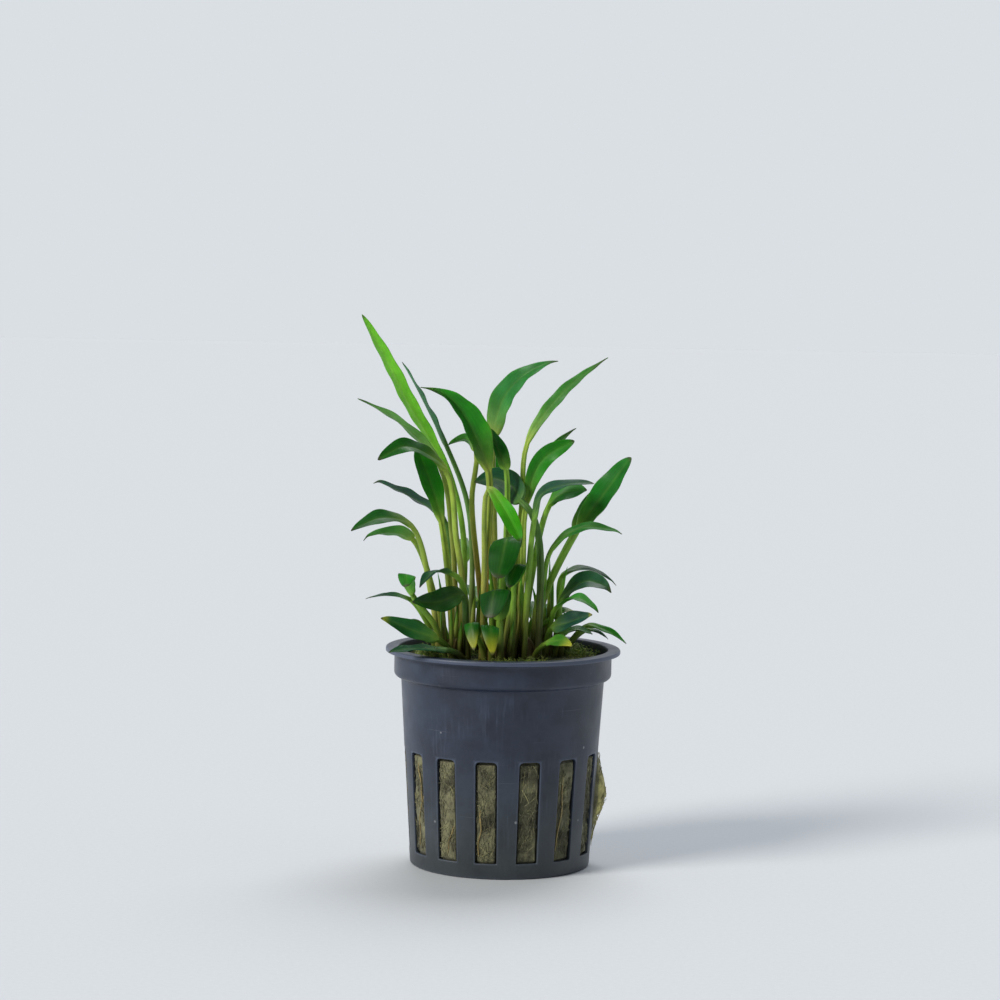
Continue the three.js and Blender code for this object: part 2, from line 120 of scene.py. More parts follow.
table_half = 4000 * MM
table_mesh = bpy.data.meshes.new("table")
corners = [(x * table_half, y * table_half, 0) for x, y in ((-1, -1), (1, -1), (1, 1), (-1, 1))]
table_mesh.from_pydata(corners, [], [(0, 1, 2, 3)])
table = bpy.data.objects.new("table", table_mesh)
table_mesh.materials.append(board)
bpy.context.scene.collection.objects.link(table)
table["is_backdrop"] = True


def add_light(name, towards, width, strength, colour):
    """A far light that shines along a direction, as soft as a round lamp of this width in degrees."""
    light = bpy.data.lights.new(name, "SUN")
    light.angle = math.radians(width)
    light.energy = strength
    light.color = linear(colour)[:3]
    lamp = bpy.data.objects.new(name, light)
    lamp.rotation_euler = Vector(towards).to_track_quat("-Z", "Y").to_euler()
    bpy.context.scene.collection.objects.link(lamp)


add_light("left", (1.1, 0.8, -0.85), 22, 2.5, "#fffaf0")
add_light("above_behind", (-0.15, -0.6, -1.0), 40, 1.7, "#ffffff")

# The studio's walls are pale round the horizon, its ceiling is dim, and the wall behind the
# camera is darker
world = bpy.data.worlds.new("studio")
world.use_nodes = True
tree = world.node_tree
heading = add_node(tree, "TexCoord").outputs["Generated"]
parts = add_node(tree, "SeparateXYZ", {"Vector": heading})
wall_stops = ((0.1, linear("#dadfe4")), (0.6, linear("#7f8388")))
walls = add_node(tree, "ValToRGB", {"Fac": parts.outputs["Z"]}, wall_stops)
forward = parts.outputs["Y"]
behind = add_node(tree, "MapRange", {"Value": forward, "From Min": -0.15, "From Max": -0.8, "To Max": 0.8})
studio = add_node(tree, "Mix", {"Factor": behind, "A": walls, "B": linear("#43474d")}, data_type="RGBA")
tree.links.new(studio.outputs["Result"], tree.nodes["Background"].inputs["Color"])
bpy.context.scene.world = world
bpy.context.scene.view_settings.view_transform = "Standard"

# The picture is 1000 pixels wide. 3059 of them are the camera's focal length, and the point
# aimed at is in the picture's middle.
picture_width = 1000
focal_pixels = 3059
sensor = 36.0
camera_distance = 700 * MM
pitch = math.radians(4.6)
lean = math.radians(1.0)
aim = Vector((-1.28, 0, 83.9)) * MM
camera_data = bpy.data.cameras.new("camera")
camera_data.sensor_width = sensor
camera_data.lens = sensor * focal_pixels / picture_width
camera_data.clip_start = 50 * MM
camera_data.clip_end = 20000 * MM
camera = bpy.data.objects.new("camera", camera_data)
towards = Vector((0, math.cos(pitch), -math.sin(pitch)))
upright = towards.to_track_quat("-Z", "Y").to_matrix().to_4x4()
place = Matrix.Translation(aim - camera_distance * towards)
camera.matrix_world = place @ upright @ Matrix.Rotation(lean, 4, "Z")
bpy.context.scene.collection.objects.link(camera)
bpy.context.scene.camera = camera


# The pot is one injection moulding in dark slate grey polypropylene: a flat base, a tapered body
# with fourteen upright slots, a rounded shoulder, a straight rim band and a thin out-turned lip.
# Its satin skin has a fine moulded grain, scuffs from handling, and dry white specks.
pot_height = 50
rim_radius = 25
lip_overhang = 2
lip_thickness = 1.05
band_height = 6.6
shoulder_step = 1.6
pot_taper = math.tan(math.radians(3.65))
wall = 0.9
base_thickness = 1.2
slot_count = 14
slot_half = 2.45
slot_bottom = 3.6
slot_top = 26.8
slot_middle = (slot_bottom + slot_top) / 2
slot_reach = (slot_top - slot_bottom) / 2
first_slot = math.radians(-8.6)
slot_period = 2 * math.pi / slot_count
shoulder_z = pot_height - band_height
corner_points = 6
closest_points = 0.02


def body_radius(z):
    """The radius of the tapered body's outside at a height, a straight line down from the shoulder."""
    return rim_radius - shoulder_step - (shoulder_z - z) * pot_taper


def to_points(angle, radius, z):
    """Points about the pot's axis: the angle is counted from the front, to the right."""
    angle, radius, z = np.broadcast_arrays(angle, radius, z)
    return np.stack([radius * np.sin(angle), -radius * np.cos(angle), z], -1)


def grid_faces(rows, columns):
    """Four-cornered faces between the neighbouring points of a grid whose rows close on themselves."""
    row = np.arange(rows - 1)[:, None] * columns
    column = np.arange(columns)[None, :]
    after = (column + 1) % columns
    above = row + columns
    return np.stack([row + column, row + after, above + after, above + column], -1).reshape(-1, 4)


def eased(corners, cuts):
    """A line through corners, each rounded by a parabola between the points A and B that lie its
    cut away from the corner P on either side: (1 - t)^2 A + 2 t (1 - t) P + t^2 B."""
    corners = np.array(corners, float)
    t = np.linspace(0, 1, corner_points)[:, None]
    line = [corners[:1]]
    for before, corner, after, cut in zip(corners, corners[1:], corners[2:], cuts):
        start = corner + cut * (before - corner) / np.linalg.norm(before - corner)
        end = corner + cut * (after - corner) / np.linalg.norm(after - corner)
        line.append((1 - t) ** 2 * start + 2 * t * (1 - t) * corner + t**2 * end)
    return np.vstack([*line, corners[-1:]])


def filled_in(line, longest):
    """The same line with points added along it, so that none are further apart than longest, and
    without those that lie closer together than closest_points."""
    steps = np.linalg.norm(np.diff(line, axis=0), axis=1)
    lengths = np.concatenate([[0], np.cumsum(steps)])
    marks = np.union1d(np.round(lengths, 6), np.round(np.arange(0, lengths[-1], longest), 6))
    keep = np.concatenate([[True], np.diff(marks) > closest_points])
    return np.column_stack([np.interp(marks[keep], lengths, line[:, k]) for k in (0, 1)])


def new_piece(name, points, faces, material, attributes=()):
    """Makes a mesh object from points in millimetres and four-cornered faces, with its point
    attributes, welds its seams and poles, and turns its faces outwards if its volume is negative."""
    points = np.asarray(points, float).reshape(-1, 3) * MM
    a, b, c, d = (points[faces[:, k]] for k in range(4))
    volume = np.einsum("ij,ij", a, np.cross(b, c)) + np.einsum("ij,ij", a, np.cross(c, d))
    if volume < 0:
        faces = faces[:, ::-1]
    mesh = bpy.data.meshes.new(name)
    mesh.vertices.add(len(points))
    mesh.vertices.foreach_set("co", points.astype(np.float32).ravel())
    mesh.loops.add(faces.size)
    mesh.loops.foreach_set("vertex_index", np.ascontiguousarray(faces, dtype=np.int32).ravel())
    mesh.polygons.add(len(faces))
    mesh.polygons.foreach_set("loop_start", np.arange(0, faces.size, 4, dtype=np.int32))
    mesh.update(calc_edges=True)
    for key, values in dict(attributes).items():
        kind = {1: "FLOAT", 3: "FLOAT_VECTOR", 4: "FLOAT_COLOR"}[values.shape[-1]]
        field = {1: "value", 3: "vector", 4: "color"}[values.shape[-1]]
        layer = mesh.attributes.new(key, kind, "POINT")
        layer.data.foreach_set(field, values.astype(np.float32).ravel())
    work = bmesh.new()
    work.from_mesh(mesh)
    bmesh.ops.remove_doubles(work, verts=work.verts, dist=0.001 * MM)
    work.to_mesh(mesh)
    work.free()
    mesh.polygons.foreach_set("use_smooth", np.full(len(mesh.polygons), True))
    mesh.materials.append(material)
    piece = bpy.data.objects.new(name, mesh)
    bpy.context.scene.collection.objects.link(piece)
    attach(piece, "root")
    return piece


# Satin polypropylene, injection moulded: a soft broad shine over a fine grain, drawn at 0.3 mm so
# that it shows. Handling has clouded it and left short upright rubs, a few hairline scratches, dry
# white specks, paler worn edges on the lip and round the slots, and a green film low down.
black, white = (0, 0, 0, 1), (1, 1, 1, 1)
polypropylene, tree, place = new_material("moulded_polypropylene")
cloud = add_node(
    tree, "TexNoise", {"Vector": place, "Scale": per_metre(13.3), "Detail": 6, "Roughness": 0.62}
)
patch = add_node(tree, "TexNoise", {"Vector": place, "Scale": per_metre(9.1), "Detail": 3})
patched = add_node(tree, "ValToRGB", {"Fac": patch}, ((0.5, black), (0.66, white)))

# The rubs are upright strokes about 1 mm wide and 9 mm long, and keep to the patches
rub_size = (per_metre(0.77), per_metre(0.77), per_metre(9.1))
upright = add_node(tree, "Mapping", {"Vector": place, "Scale": rub_size})
rub = add_node(tree, "TexNoise", {"Vector": upright, "Scale": 1, "Detail": 4})
rubbed = add_node(tree, "ValToRGB", {"Fac": rub}, ((0.52, black), (0.78, (0.4, 0.4, 0.4, 1))))
rubs = add_node(tree, "Mix", {"Factor": patched, "A": black, "B": rubbed}, data_type="RGBA")

# The scratches are slanting lines about 0.3 mm wide, wider than real ones so that they show
line_size = (per_metre(16.7), per_metre(16.7), per_metre(0.3125))
slanted = add_node(tree, "Mapping", {"Vector": place, "Rotation": (0.3, 0.75, 0.2), "Scale": line_size})
scratch = add_node(tree, "TexNoise", {"Vector": slanted, "Scale": 1, "Detail": 2})
scratches = add_node(tree, "ValToRGB", {"Fac": scratch}, ((0.73, black), (0.77, (0.22, 0.22, 0.22, 1))))

# The specks stand about 4 mm apart, also only in the patches
dot = add_node(tree, "TexVoronoi", {"Vector": place, "Scale": per_metre(4.35)})
dotted = add_node(tree, "ValToRGB", {"Fac": dot}, ((0.05, white), (0.085, black)))
specks = add_node(tree, "Mix", {"Factor": dotted, "A": black, "B": patched}, data_type="RGBA")
wear = add_node(tree, "Attribute", attribute_name="wear").outputs["Fac"]
height = add_node(tree, "SeparateXYZ", {"Vector": place}).outputs["Z"]
low = add_node(
    tree, "MapRange", {"Value": height, "From Min": 30 * MM, "From Max": 4 * MM, "To Max": 0.75}
)
film = add_node(tree, "Math", {0: low, 1: cloud}, operation="MULTIPLY")

# Each mark lies over the ones before it, in its own colour
skin = add_node(tree, "ValToRGB", {"Fac": cloud}, ((0.3, linear("#161d2e")), (0.7, linear("#303b50"))))
marks = [
    (rubs, "#4c566c"), (scratches, "#757b89"), (specks, "#8f939b"), (wear, "#4e586e"), (film, "#454a3c"),
]
for share, code in marks:
    skin = add_node(tree, "Mix", {"Factor": share, "A": skin, "B": linear(code)}, data_type="RGBA")
grain = add_node(tree, "TexNoise", {"Vector": place, "Scale": per_metre(0.303), "Detail": 2})
rough = add_node(
    tree, "MapRange", {"Value": patch, "From Min": 0.3, "From Max": 0.7, "To Min": 0.34, "To Max": 0.5}
)
bump = add_node(tree, "Bump", {"Height": grain, "Strength": 0.35, "Distance": 0.06 * MM})
finish_material(tree, {"Base Color": skin, "Roughness": rough, "Normal": bump, "IOR": 1.49})

# Each slot sits in its own panel of the wall, from panel_low to panel_high
panel_low, panel_high = 1.9, 29.0
across_steps, up_steps, arc_steps = 16, 26, 4
edge_round = 0.18
profile_step = 2.5


def rounded_side(length, first, last, steps):
    """One side of a rounded oblong, from the middle of the arc at one corner to the middle of the
    arc at the next: u runs along the side and v out of it. Each arc's radius is first or last."""
    turn = np.linspace(math.pi / 4, 0, arc_steps, endpoint=False)
    flat = np.linspace(first, length - last, steps - 2 * arc_steps + 1)
    u = np.concatenate([first - first * np.sin(turn), flat, length - last + last * np.sin(turn[::-1])])
    v = np.concatenate([first * np.cos(turn) - first, 0 * flat, last * np.cos(turn[::-1]) - last])
    return u[:-1], v[:-1]


def slot_outline(grow):
    """The slot's outline grown outwards by grow, as x across the slot and z up: four rounded sides,
    clockwise from the top left corner, each running along one direction with v to its left."""
    half, low, high = slot_half + grow, slot_bottom - grow, slot_top + grow
    top, foot = 1 + grow, 0.3 + grow
    sides = [
        (-half, high, 1, 0, 2 * half, top, top, across_steps),
        (half, high, 0, -1, high - low, top, foot, up_steps),
        (half, low, -1, 0, 2 * half, foot, foot, across_steps),
        (-half, low, 0, 1, high - low, foot, top, up_steps),
    ]
    x, z = [], []
    for start_x, start_z, along_x, along_z, length, first, last, steps in sides:
        u, v = rounded_side(length, first, last, steps)
        x.append(start_x + u * along_x - v * along_z)
        z.append(start_z + u * along_z + v * along_x)
    return np.concatenate(x), np.concatenate(z)


def pot_points():
    """The grids of the pot. A panel's rows go from its border over the outer face to the slot,
    round the slot's edge and back over the inner face to the border, and its columns go round the
    slot. The rest of the pot is a profile turned about the axis, meeting the panels' borders."""
    half = slot_period / 2
    across = np.linspace(-half, half, across_steps, endpoint=False)
    down = np.linspace(panel_high, panel_low, up_steps, endpoint=False)
    border_x = np.concatenate([across, np.full(up_steps, half), -across, np.full(up_steps, -half)])
    border_z = np.concatenate([
        np.full(across_steps, panel_high), down,
        np.full(across_steps, panel_low), panel_high + panel_low - down,
    ])
    away = np.array([1, 0.75, 0.5, 0.3, 0.15, 0.05])
    grown_x, grown_z = slot_outline(edge_round)
    rows = []

    def add_face_row(share, depth):
        """A row on a face, this share of the way from the slot's edge to the panel's border."""
        z = (1 - share) * grown_z + share * border_z
        edge = np.arcsin(grown_x / (body_radius(grown_z) - depth))
        rows.append(((1 - share) * edge + share * border_x, body_radius(z) - depth, z))

    for share in away:
        add_face_row(share, 0)
    turn = np.linspace(0, math.pi / 2, 5)
    rise, fall = edge_round * np.sin(turn), edge_round * (1 - np.cos(turn))
    grows = np.concatenate([edge_round - rise, fall])
    depths = np.concatenate([fall, wall - edge_round + rise])
    for grow, depth in zip(grows, depths):
        x, z = slot_outline(grow)
        rows.append((np.arcsin(x / (body_radius(z) - depth)), body_radius(z) - depth, z))
    for share in away[::-1]:
        add_face_row(share, wall)
    angle, radius, z = np.moveaxis(np.array(rows), 1, 0)
    grids = [to_points(angle + first_slot + i * slot_period, radius, z) for i in range(slot_count)]

    lip_radius = rim_radius + lip_overhang
    lip_under = pot_height - lip_thickness
    inside = rim_radius - wall
    upper = eased(
        [
            (body_radius(panel_high), panel_high), (body_radius(shoulder_z - 0.4), shoulder_z - 0.4),
            (rim_radius, shoulder_z + 0.1), (rim_radius, lip_under),
            (lip_radius, lip_under + 0.1), (lip_radius, pot_height),
            (inside, pot_height), (inside, shoulder_z + 0.8),
            (body_radius(shoulder_z - 0.6) - wall, shoulder_z - 0.6),
            (body_radius(panel_high) - wall, panel_high),
        ],
        [0.35, 0.95, 0.6, 0.22, 0.42, 0.3, 0.6, 0.6],
    )
    under = eased([(body_radius(panel_low), panel_low), (body_radius(0), 0), (0, 0)], [0.7])
    floor = eased([
        (body_radius(panel_low) - wall, panel_low),
        (body_radius(base_thickness) - wall, base_thickness), (0, base_thickness),
    ], [0.3])
    angle = first_slot - half + np.arange(slot_count * across_steps) * slot_period / across_steps
    for line in (upper, under, floor):
        line = filled_in(line, profile_step)
        grids.append(to_points(angle[None], line[:, :1], line[:, 1:]))
    return grids


def joined(grids):
    """Several grids as one list of points and one of faces."""
    points, faces, count = [], [], 0
    for grid in grids:
        rows, columns = grid.shape[:2]
        points.append(grid.reshape(-1, 3))
        faces.append(grid_faces(rows, columns) + count)
        count += rows * columns
    return np.concatenate(points), np.concatenate(faces)


points, faces = joined(pot_points())
turn = np.arctan2(points[:, 0], -points[:, 1])
radius = np.hypot(points[:, 0], points[:, 1])
z = points[:, 2]
# The wear falls off with the distance from the lip's edge, the foot and the edge of the nearest slot
in_panel = (turn - first_slot + slot_period / 2) % slot_period - slot_period / 2
from_side = np.abs(radius * np.sin(in_panel)) - slot_half
from_slot = np.maximum(from_side, np.abs(z - slot_middle) - slot_reach)
outside = radius > body_radius(z) - 0.35
lip_wear = np.exp(-(((radius - rim_radius - lip_overhang) / 0.35) ** 2))
slot_wear = np.exp(-((from_slot / 0.25) ** 2)) * outside
foot_wear = np.exp(-((z / 0.5) ** 2)) * outside
wear = 0.75 * np.maximum.reduce([lip_wear, slot_wear, foot_wear])
# A moulding this thin is never quite round: its lip is out of true by about a tenth of a millimetre
out_of_round = 0.0035 * np.sin(2 * turn + 0.8) + 0.0015 * np.sin(3 * turn + z / 14)
points[:, :2] *= 1 + (out_of_round * z / pot_height)[:, None]
slotted_pot = new_piece("slotted_pot", points, faces, polypropylene, {"wear": wear[:, None]})
work = bmesh.new()
work.from_mesh(slotted_pot.data)
bmesh.ops.recalc_face_normals(work, faces=work.faces)
work.to_mesh(slotted_pot.data)
work.free()
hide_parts("pot")


# The rock wool is a plug of spun mineral fibre, soaked and grown over, that fills the pot and
# shows in every slot. It has swollen out of one slot on the right. Its top is uneven, and highest
# at the back right, where moss has taken hold.
wool_top = 47.5
wool_foot = 1.5
wool_edge = 23.6
wool_gap = 0.3
tongue_half, tongue_side = 2.05, 2.2
tongue_low, tongue_high = 4.1, 26.0
tongue_depth = 0.62
bulging_slot = 4
bulge, bulge_half = 2.9, 2.3
bulge_middle, bulge_spread = 16, 6


def lumps(points, size, seed):
    """Smooth random heights from -1 to 1 with bumps about this size: random numbers on a cubic
    lattice that repeats every 32 cells, eased and blended between the eight corners of a cell."""
    table = np.random.default_rng(seed).uniform(-1, 1, (32, 32, 32))
    cells = points / np.asarray(size, float)
    cell = np.floor(cells).astype(int)
    share = cells - cell
    ease = share * share * (3 - 2 * share)
    total = 0
    for corner in np.ndindex(2, 2, 2):
        weight = np.prod(np.where(corner, ease, 1 - ease), axis=-1)
        i, j, k = np.moveaxis((cell + corner) % 32, -1, 0)
        total = total + weight * table[i, j, k]
    return total


def smooth(low, high, value):
    """0 below low, 1 above high, and an eased step between them."""
    share = np.clip((value - low) / (high - low), 0, 1)
    return share * share * (3 - 2 * share)


def wool_ground(x, y):
    """The height of the wool's top: lumps of 6, 2 and 0.8 mm, and a low mound at the back right."""
    place = np.stack([x, y, 0 * x + 3], -1)
    rise = 0.55 * lumps(place, 6, 11) + 0.32 * lumps(place, 2.0, 12) + 0.16 * lumps(place, 0.8, 13)
    mound = 1.1 * np.exp(-((x - 13) ** 2 + (y - 11) ** 2) / 60)
    return wool_top + rise + mound


def swollen_face(x, z):
    """How far the swollen wool stands out of its slot: round across, and a bell curve up the slot."""
    rounded = np.sqrt(np.clip(1 - (x / bulge_half) ** 2, 0, 1))
    bell = np.exp(-(((z - bulge_middle) / bulge_spread) ** 2))
    return bulge * rounded * (0.1 + 0.9 * bell) - 0.3


def wool_plug():
    """A grid round the plug: rows up the side and in over the top, columns crowded at the edges of the
    tongues. A point's radius is the inside of the wall, or the tongue's face within a slot. Each
    point also has a painted shade, from 0, darkest, in the deepest hollows to 1 on the swollen tongue,
    whose paleness is partly its own colour and partly painted light."""
    across = np.concatenate([np.linspace(0, tongue_half, 9), [2.1, tongue_side]])
    rest = np.linspace(0, 1, 7)[1:-1]
    rows = np.unique(np.concatenate([
        np.linspace(wool_foot, tongue_low, 7), np.linspace(tongue_low, tongue_high, 74),
        np.linspace(tongue_high, tongue_high + 0.4, 4), np.linspace(27, shoulder_z - 0.5, 20),
        np.linspace(shoulder_z + 1.9, wool_top - 0.3, 8),
    ]))
    radius = body_radius(rows)[:, None]
    near = np.arcsin(across[None] / radius)
    half = slot_period / 2
    far = near[:, -1:] + rest[None] * (half - near[:, -1:])
    right = np.concatenate([near, far], 1)
    left = -right[:, :0:-1]
    offset = np.concatenate([left, right, np.full((len(rows), 1), half)], 1)
    slots = np.arange(slot_count)[None, :, None]
    angle = (offset[:, None, :] + first_slot + slots * slot_period).reshape(len(rows), -1)
    x = (np.sin(offset) * radius)[:, None, :].repeat(slot_count, 1).reshape(len(rows), -1)
    z = np.broadcast_to(rows[:, None], x.shape)
    slot = np.broadcast_to(slots, (len(rows), slot_count, offset.shape[1])).reshape(x.shape)
    ends = smooth(tongue_low - 0.2, tongue_low + 0.05, z) * (1 - smooth(tongue_high, tongue_high + 0.3, z))
    in_slot = (1 - smooth(tongue_half, tongue_side, np.abs(x))) * ends

    # Outside the slots the plug follows the wall, and within them its felted face lies a little back
    place = to_points(angle, body_radius(z), z)
    face = 0.3 * lumps(place, 3.0, 21) + 0.17 * lumps(place, (0.8, 0.8, 2.4), 22)
    face += 0.1 * lumps(place, (0.5, 0.5, 1.0), 23) - tongue_depth
    face = np.where(slot == bulging_slot, swollen_face(x, z) + 0.3 * lumps(place, 1.8, 24), face)
    inner = -wall - wool_gap
    band = smooth(shoulder_z, shoulder_z + 1.8, z) * shoulder_step
    out = inner + in_slot * (face - inner) + band - 0.15 * (z > shoulder_z)
    side = to_points(angle, body_radius(np.minimum(z, shoulder_z)) + out, z)

    # The top's rows are the side's last row drawn in towards the axis, and dip where they meet it
    edge = side[-1]
    top = edge[None] * np.linspace(1, 0, 56)[1:-1, None, None]
    ground = wool_ground(top[..., 0], top[..., 1])
    share = np.hypot(top[..., 0], top[..., 1]) / np.hypot(edge[:, 0], edge[:, 1])
    top[..., 2] = ground - 0.9 * smooth(0.9, 1.0, share)
    peak = np.broadcast_to([0, 0, wool_ground(np.zeros(1), np.zeros(1))[0]], (1, *edge.shape))
    foot = np.broadcast_to([0, 0, wool_foot], (1, *edge.shape))
    # Painted shade darkens the wool where its face lies back, where it hides behind the wall and in the
    # dips of its top, and painted light brightens the swollen tongue
    felt_painted_shade = np.clip(0.45 + 0.78 * (face + tongue_depth), 0, 0.88)
    side_painted_shade_and_light = (felt_painted_shade + 0.12 * smooth(0, 1.4, face)) * in_slot
    top_painted_shade = np.clip(0.5 + 0.4 * (ground - wool_top), 0, 1)
    tone = np.concatenate([0 * side_painted_shade_and_light[:1], side_painted_shade_and_light, top_painted_shade, top_painted_shade[-1:]])
    return np.concatenate([foot, side, top, peak]), tone


def thin_tubes(paths, radii, sides):
    """Closed tubes along many paths at once: at each path's points a small polygon stands square
    to the path, with the radius given there, and the first and last polygons shrink to a point."""
    along = np.gradient(paths, axis=1)
    along /= np.linalg.norm(along, axis=-1, keepdims=True)
    guide = np.where(np.abs(along[:, :1, 2:]) > 0.9, [[[1.0, 0, 0]]], [[[0, 0, 1.0]]])
    first = np.cross(along, np.broadcast_to(guide, along.shape))
    first /= np.linalg.norm(first, axis=-1, keepdims=True)
    second = np.cross(along, first)
    turn = np.arange(sides) * 2 * math.pi / sides
    ring = first[:, :, None] * np.cos(turn)[:, None] + second[:, :, None] * np.sin(turn)[:, None]
    skin = paths[:, :, None] + ring * radii[:, :, None, None]
    start = np.broadcast_to(paths[:, :1, None], (len(paths), 1, sides, 3))
    end = np.broadcast_to(paths[:, -1:, None], (len(paths), 1, sides, 3))
    grids = np.concatenate([start, skin, end], 1)
    count, rows = grids.shape[:2]
    faces = grid_faces(rows, sides)
    step = np.arange(count)[:, None, None] * rows * sides
    return grids.reshape(-1, 3), (faces[None] + step).reshape(-1, 4)


# Mineral wool, spun and soaked: grey tan fibre stained olive by algae, with painted shade in the
# hollows, pale where it swells out of the pot, partly its own colour and partly painted light, and
# mossy green on top. Drawn fibres give it a felted look.
mineral_wool, tree, place = new_material("spun_mineral_wool")
stain = add_node(
    tree, "TexNoise", {"Vector": place, "Scale": per_metre(4.76), "Detail": 6, "Roughness": 0.65}
)
tan_stops = ((0.32, linear("#45432f")), (0.48, linear("#737157")), (0.66, linear("#979570")))
tan = add_node(tree, "ValToRGB", {"Fac": stain}, tan_stops)
height = add_node(tree, "SeparateXYZ", {"Vector": place}).outputs["Z"]
upper = add_node(
    tree, "MapRange", {"Value": height, "From Min": 43 * MM, "From Max": wool_top * MM, "To Max": 0.85}
)
growth = add_node(tree, "TexNoise", {"Vector": place, "Scale": per_metre(2.38), "Detail": 5})
green_stops = ((0.35, linear("#2b2a17")), (0.5, linear("#4d5a27")), (0.68, linear("#8b9a45")))
green = add_node(tree, "ValToRGB", {"Fac": growth}, green_stops)
grown = add_node(tree, "Mix", {"Factor": upper, "A": tan, "B": green}, data_type="RGBA")
tone = add_node(tree, "Attribute", attribute_name="fibre_tone_and_painted_shade").outputs["Fac"]
# The ramp turns the painted shade into a factor: dark in the hollows, and bright on the swollen wool,
# partly painted light and partly its own paler colour
painted_shade_and_light_stops = (
    (0, (0.3, 0.3, 0.28, 1)), (0.5, (0.75, 0.76, 0.74, 1)),
    (0.88, (1.05, 1.05, 1, 1)), (1, (2.35, 2.25, 1.55, 1)),
)
depth = add_node(tree, "ValToRGB", {"Fac": tone}, painted_shade_and_light_stops)

# A Mix node with these settings multiplies one colour by another
times = {"data_type": "RGBA", "blend_type": "MULTIPLY"}
painted_shade_toned = add_node(tree, "Mix", {"Factor": 1.0, "A": grown, "B": depth}, **times)

# Fibres a few hundredths of a millimetre thick, drawn 0.25 mm apart so that they show
fibre_size = (per_metre(0.25), per_metre(0.25), per_metre(1.11))
drawn = add_node(tree, "Mapping", {"Vector": place, "Scale": fibre_size})
strand = add_node(tree, "TexNoise", {"Vector": drawn, "Scale": 1, "Detail": 3})
bump = add_node(tree, "Bump", {"Height": strand, "Strength": 0.8, "Distance": 0.3 * MM})
finish_material(tree, {"Base Color": painted_shade_toned, "Roughness": 0.88, "Normal": bump, "Sheen Weight": 0.15})

# The plug's points carry their painted shade as an attribute
plug, tone = wool_plug()
points, faces = joined([plug])
wool_piece = new_piece("wool_plug", points, faces, mineral_wool, {"fibre_tone_and_painted_shade": tone.reshape(-1, 1)})
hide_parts("rock_wool")

# Loose strands of the wool, little more than a tenth of a millimetre thick, lie over the slots'
# faces and the top. Each curls a little along its run and has a random tone, and those on the
# swollen wool are as pale as it is, partly with the same painted light.
strand_count = 1500
strand_steps = 6
draw = np.random.default_rng(5)
slot_angle = first_slot + draw.integers(0, slot_count, strand_count) * slot_period
side_x = draw.uniform(-1.9, 1.9, strand_count)
start_z = draw.uniform(tongue_low + 0.5, tongue_high - 0.5, strand_count)
run = np.linspace(-0.5, 0.5, strand_steps)[None]
slant = draw.normal(0, 0.7, (strand_count, 1))
length = draw.uniform(1.0, 3.6, (strand_count, 1))
curl = draw.normal(0, 0.5, (strand_count, 1))
x = np.clip(side_x[:, None] + length * run * np.sin(slant) + curl * (run**2 - 0.1), -2.1, 2.1)
z = np.clip(start_z[:, None] + length * run * np.cos(slant), tongue_low + 0.1, tongue_high)
swollen = np.isclose(slot_angle, first_slot + bulging_slot * slot_period)
face = np.where(swollen[:, None], swollen_face(x, z), -0.55)
lift = draw.uniform(-0.1, 0.28, (strand_count, 1))
curled_up = draw.uniform(0, 0.9, (strand_count, 1)) * run**2
radius = body_radius(z) + face + lift + curled_up
in_slots = to_points(slot_angle[:, None] + np.arcsin(x / radius), radius, z)
turn = draw.uniform(0, 2 * math.pi, (strand_count, 1))
reach = (wool_edge - 0.4) * np.sqrt(draw.uniform(0, 1, (strand_count, 1)))
heading = draw.uniform(0, 2 * math.pi, (strand_count, 1))
x = reach * np.cos(turn) + length * run * np.cos(heading + curl * run)
y = reach * np.sin(turn) + length * run * np.sin(heading + curl * run)
inward = np.minimum(1, (wool_edge - 0.2) / np.hypot(x, y))
x, y = x * inward, y * inward
z = wool_ground(x, y) + draw.uniform(-0.1, 0.5, (strand_count, 1)) * (1 - 3 * run**2) + 0.05
paths = np.concatenate([in_slots, np.stack([x, y, z], -1)])
radii = np.broadcast_to(draw.uniform(0.045, 0.085, (len(paths), 1)), paths.shape[:2])
points, faces = thin_tubes(paths, radii, 3)
# A strand's tone is random, and on the swollen wool it is as pale as the wool, partly painted light
tone = draw.uniform(0.25, 0.95, len(paths))
pale = np.concatenate([swollen, np.zeros(strand_count, bool)])
tone = np.where(pale, 0.9 + 0.1 * tone, tone)
tone = np.repeat(tone, len(points) // len(paths))
strands = new_piece("wool_strands", points, faces, mineral_wool, {"fibre_tone_and_painted_shade": tone[:, None]})


# Moss has settled on the wool and just over the lip at the front left: soft upright shoots of one
# or two millimetres, olive and dull green, each ringed by pointed leaflets. Wet moss is dull, and
# a little light passes through it.
moss, tree, place = new_material("damp_moss")
clump = add_node(tree, "TexNoise", {"Vector": place, "Scale": per_metre(3.33), "Detail": 4})
moss_stops = ((0.32, linear("#39431d")), (0.5, linear("#66782f")), (0.68, linear("#a3ae4f")))
finish_material(tree, {
    "Base Color": add_node(tree, "ValToRGB", {"Fac": clump}, moss_stops),
    "Roughness": 0.7,
    "Subsurface Weight": 0.2,
    "Subsurface Radius": (0.4, 0.8, 0.2),
    "Subsurface Scale": 0.5 * MM,
})

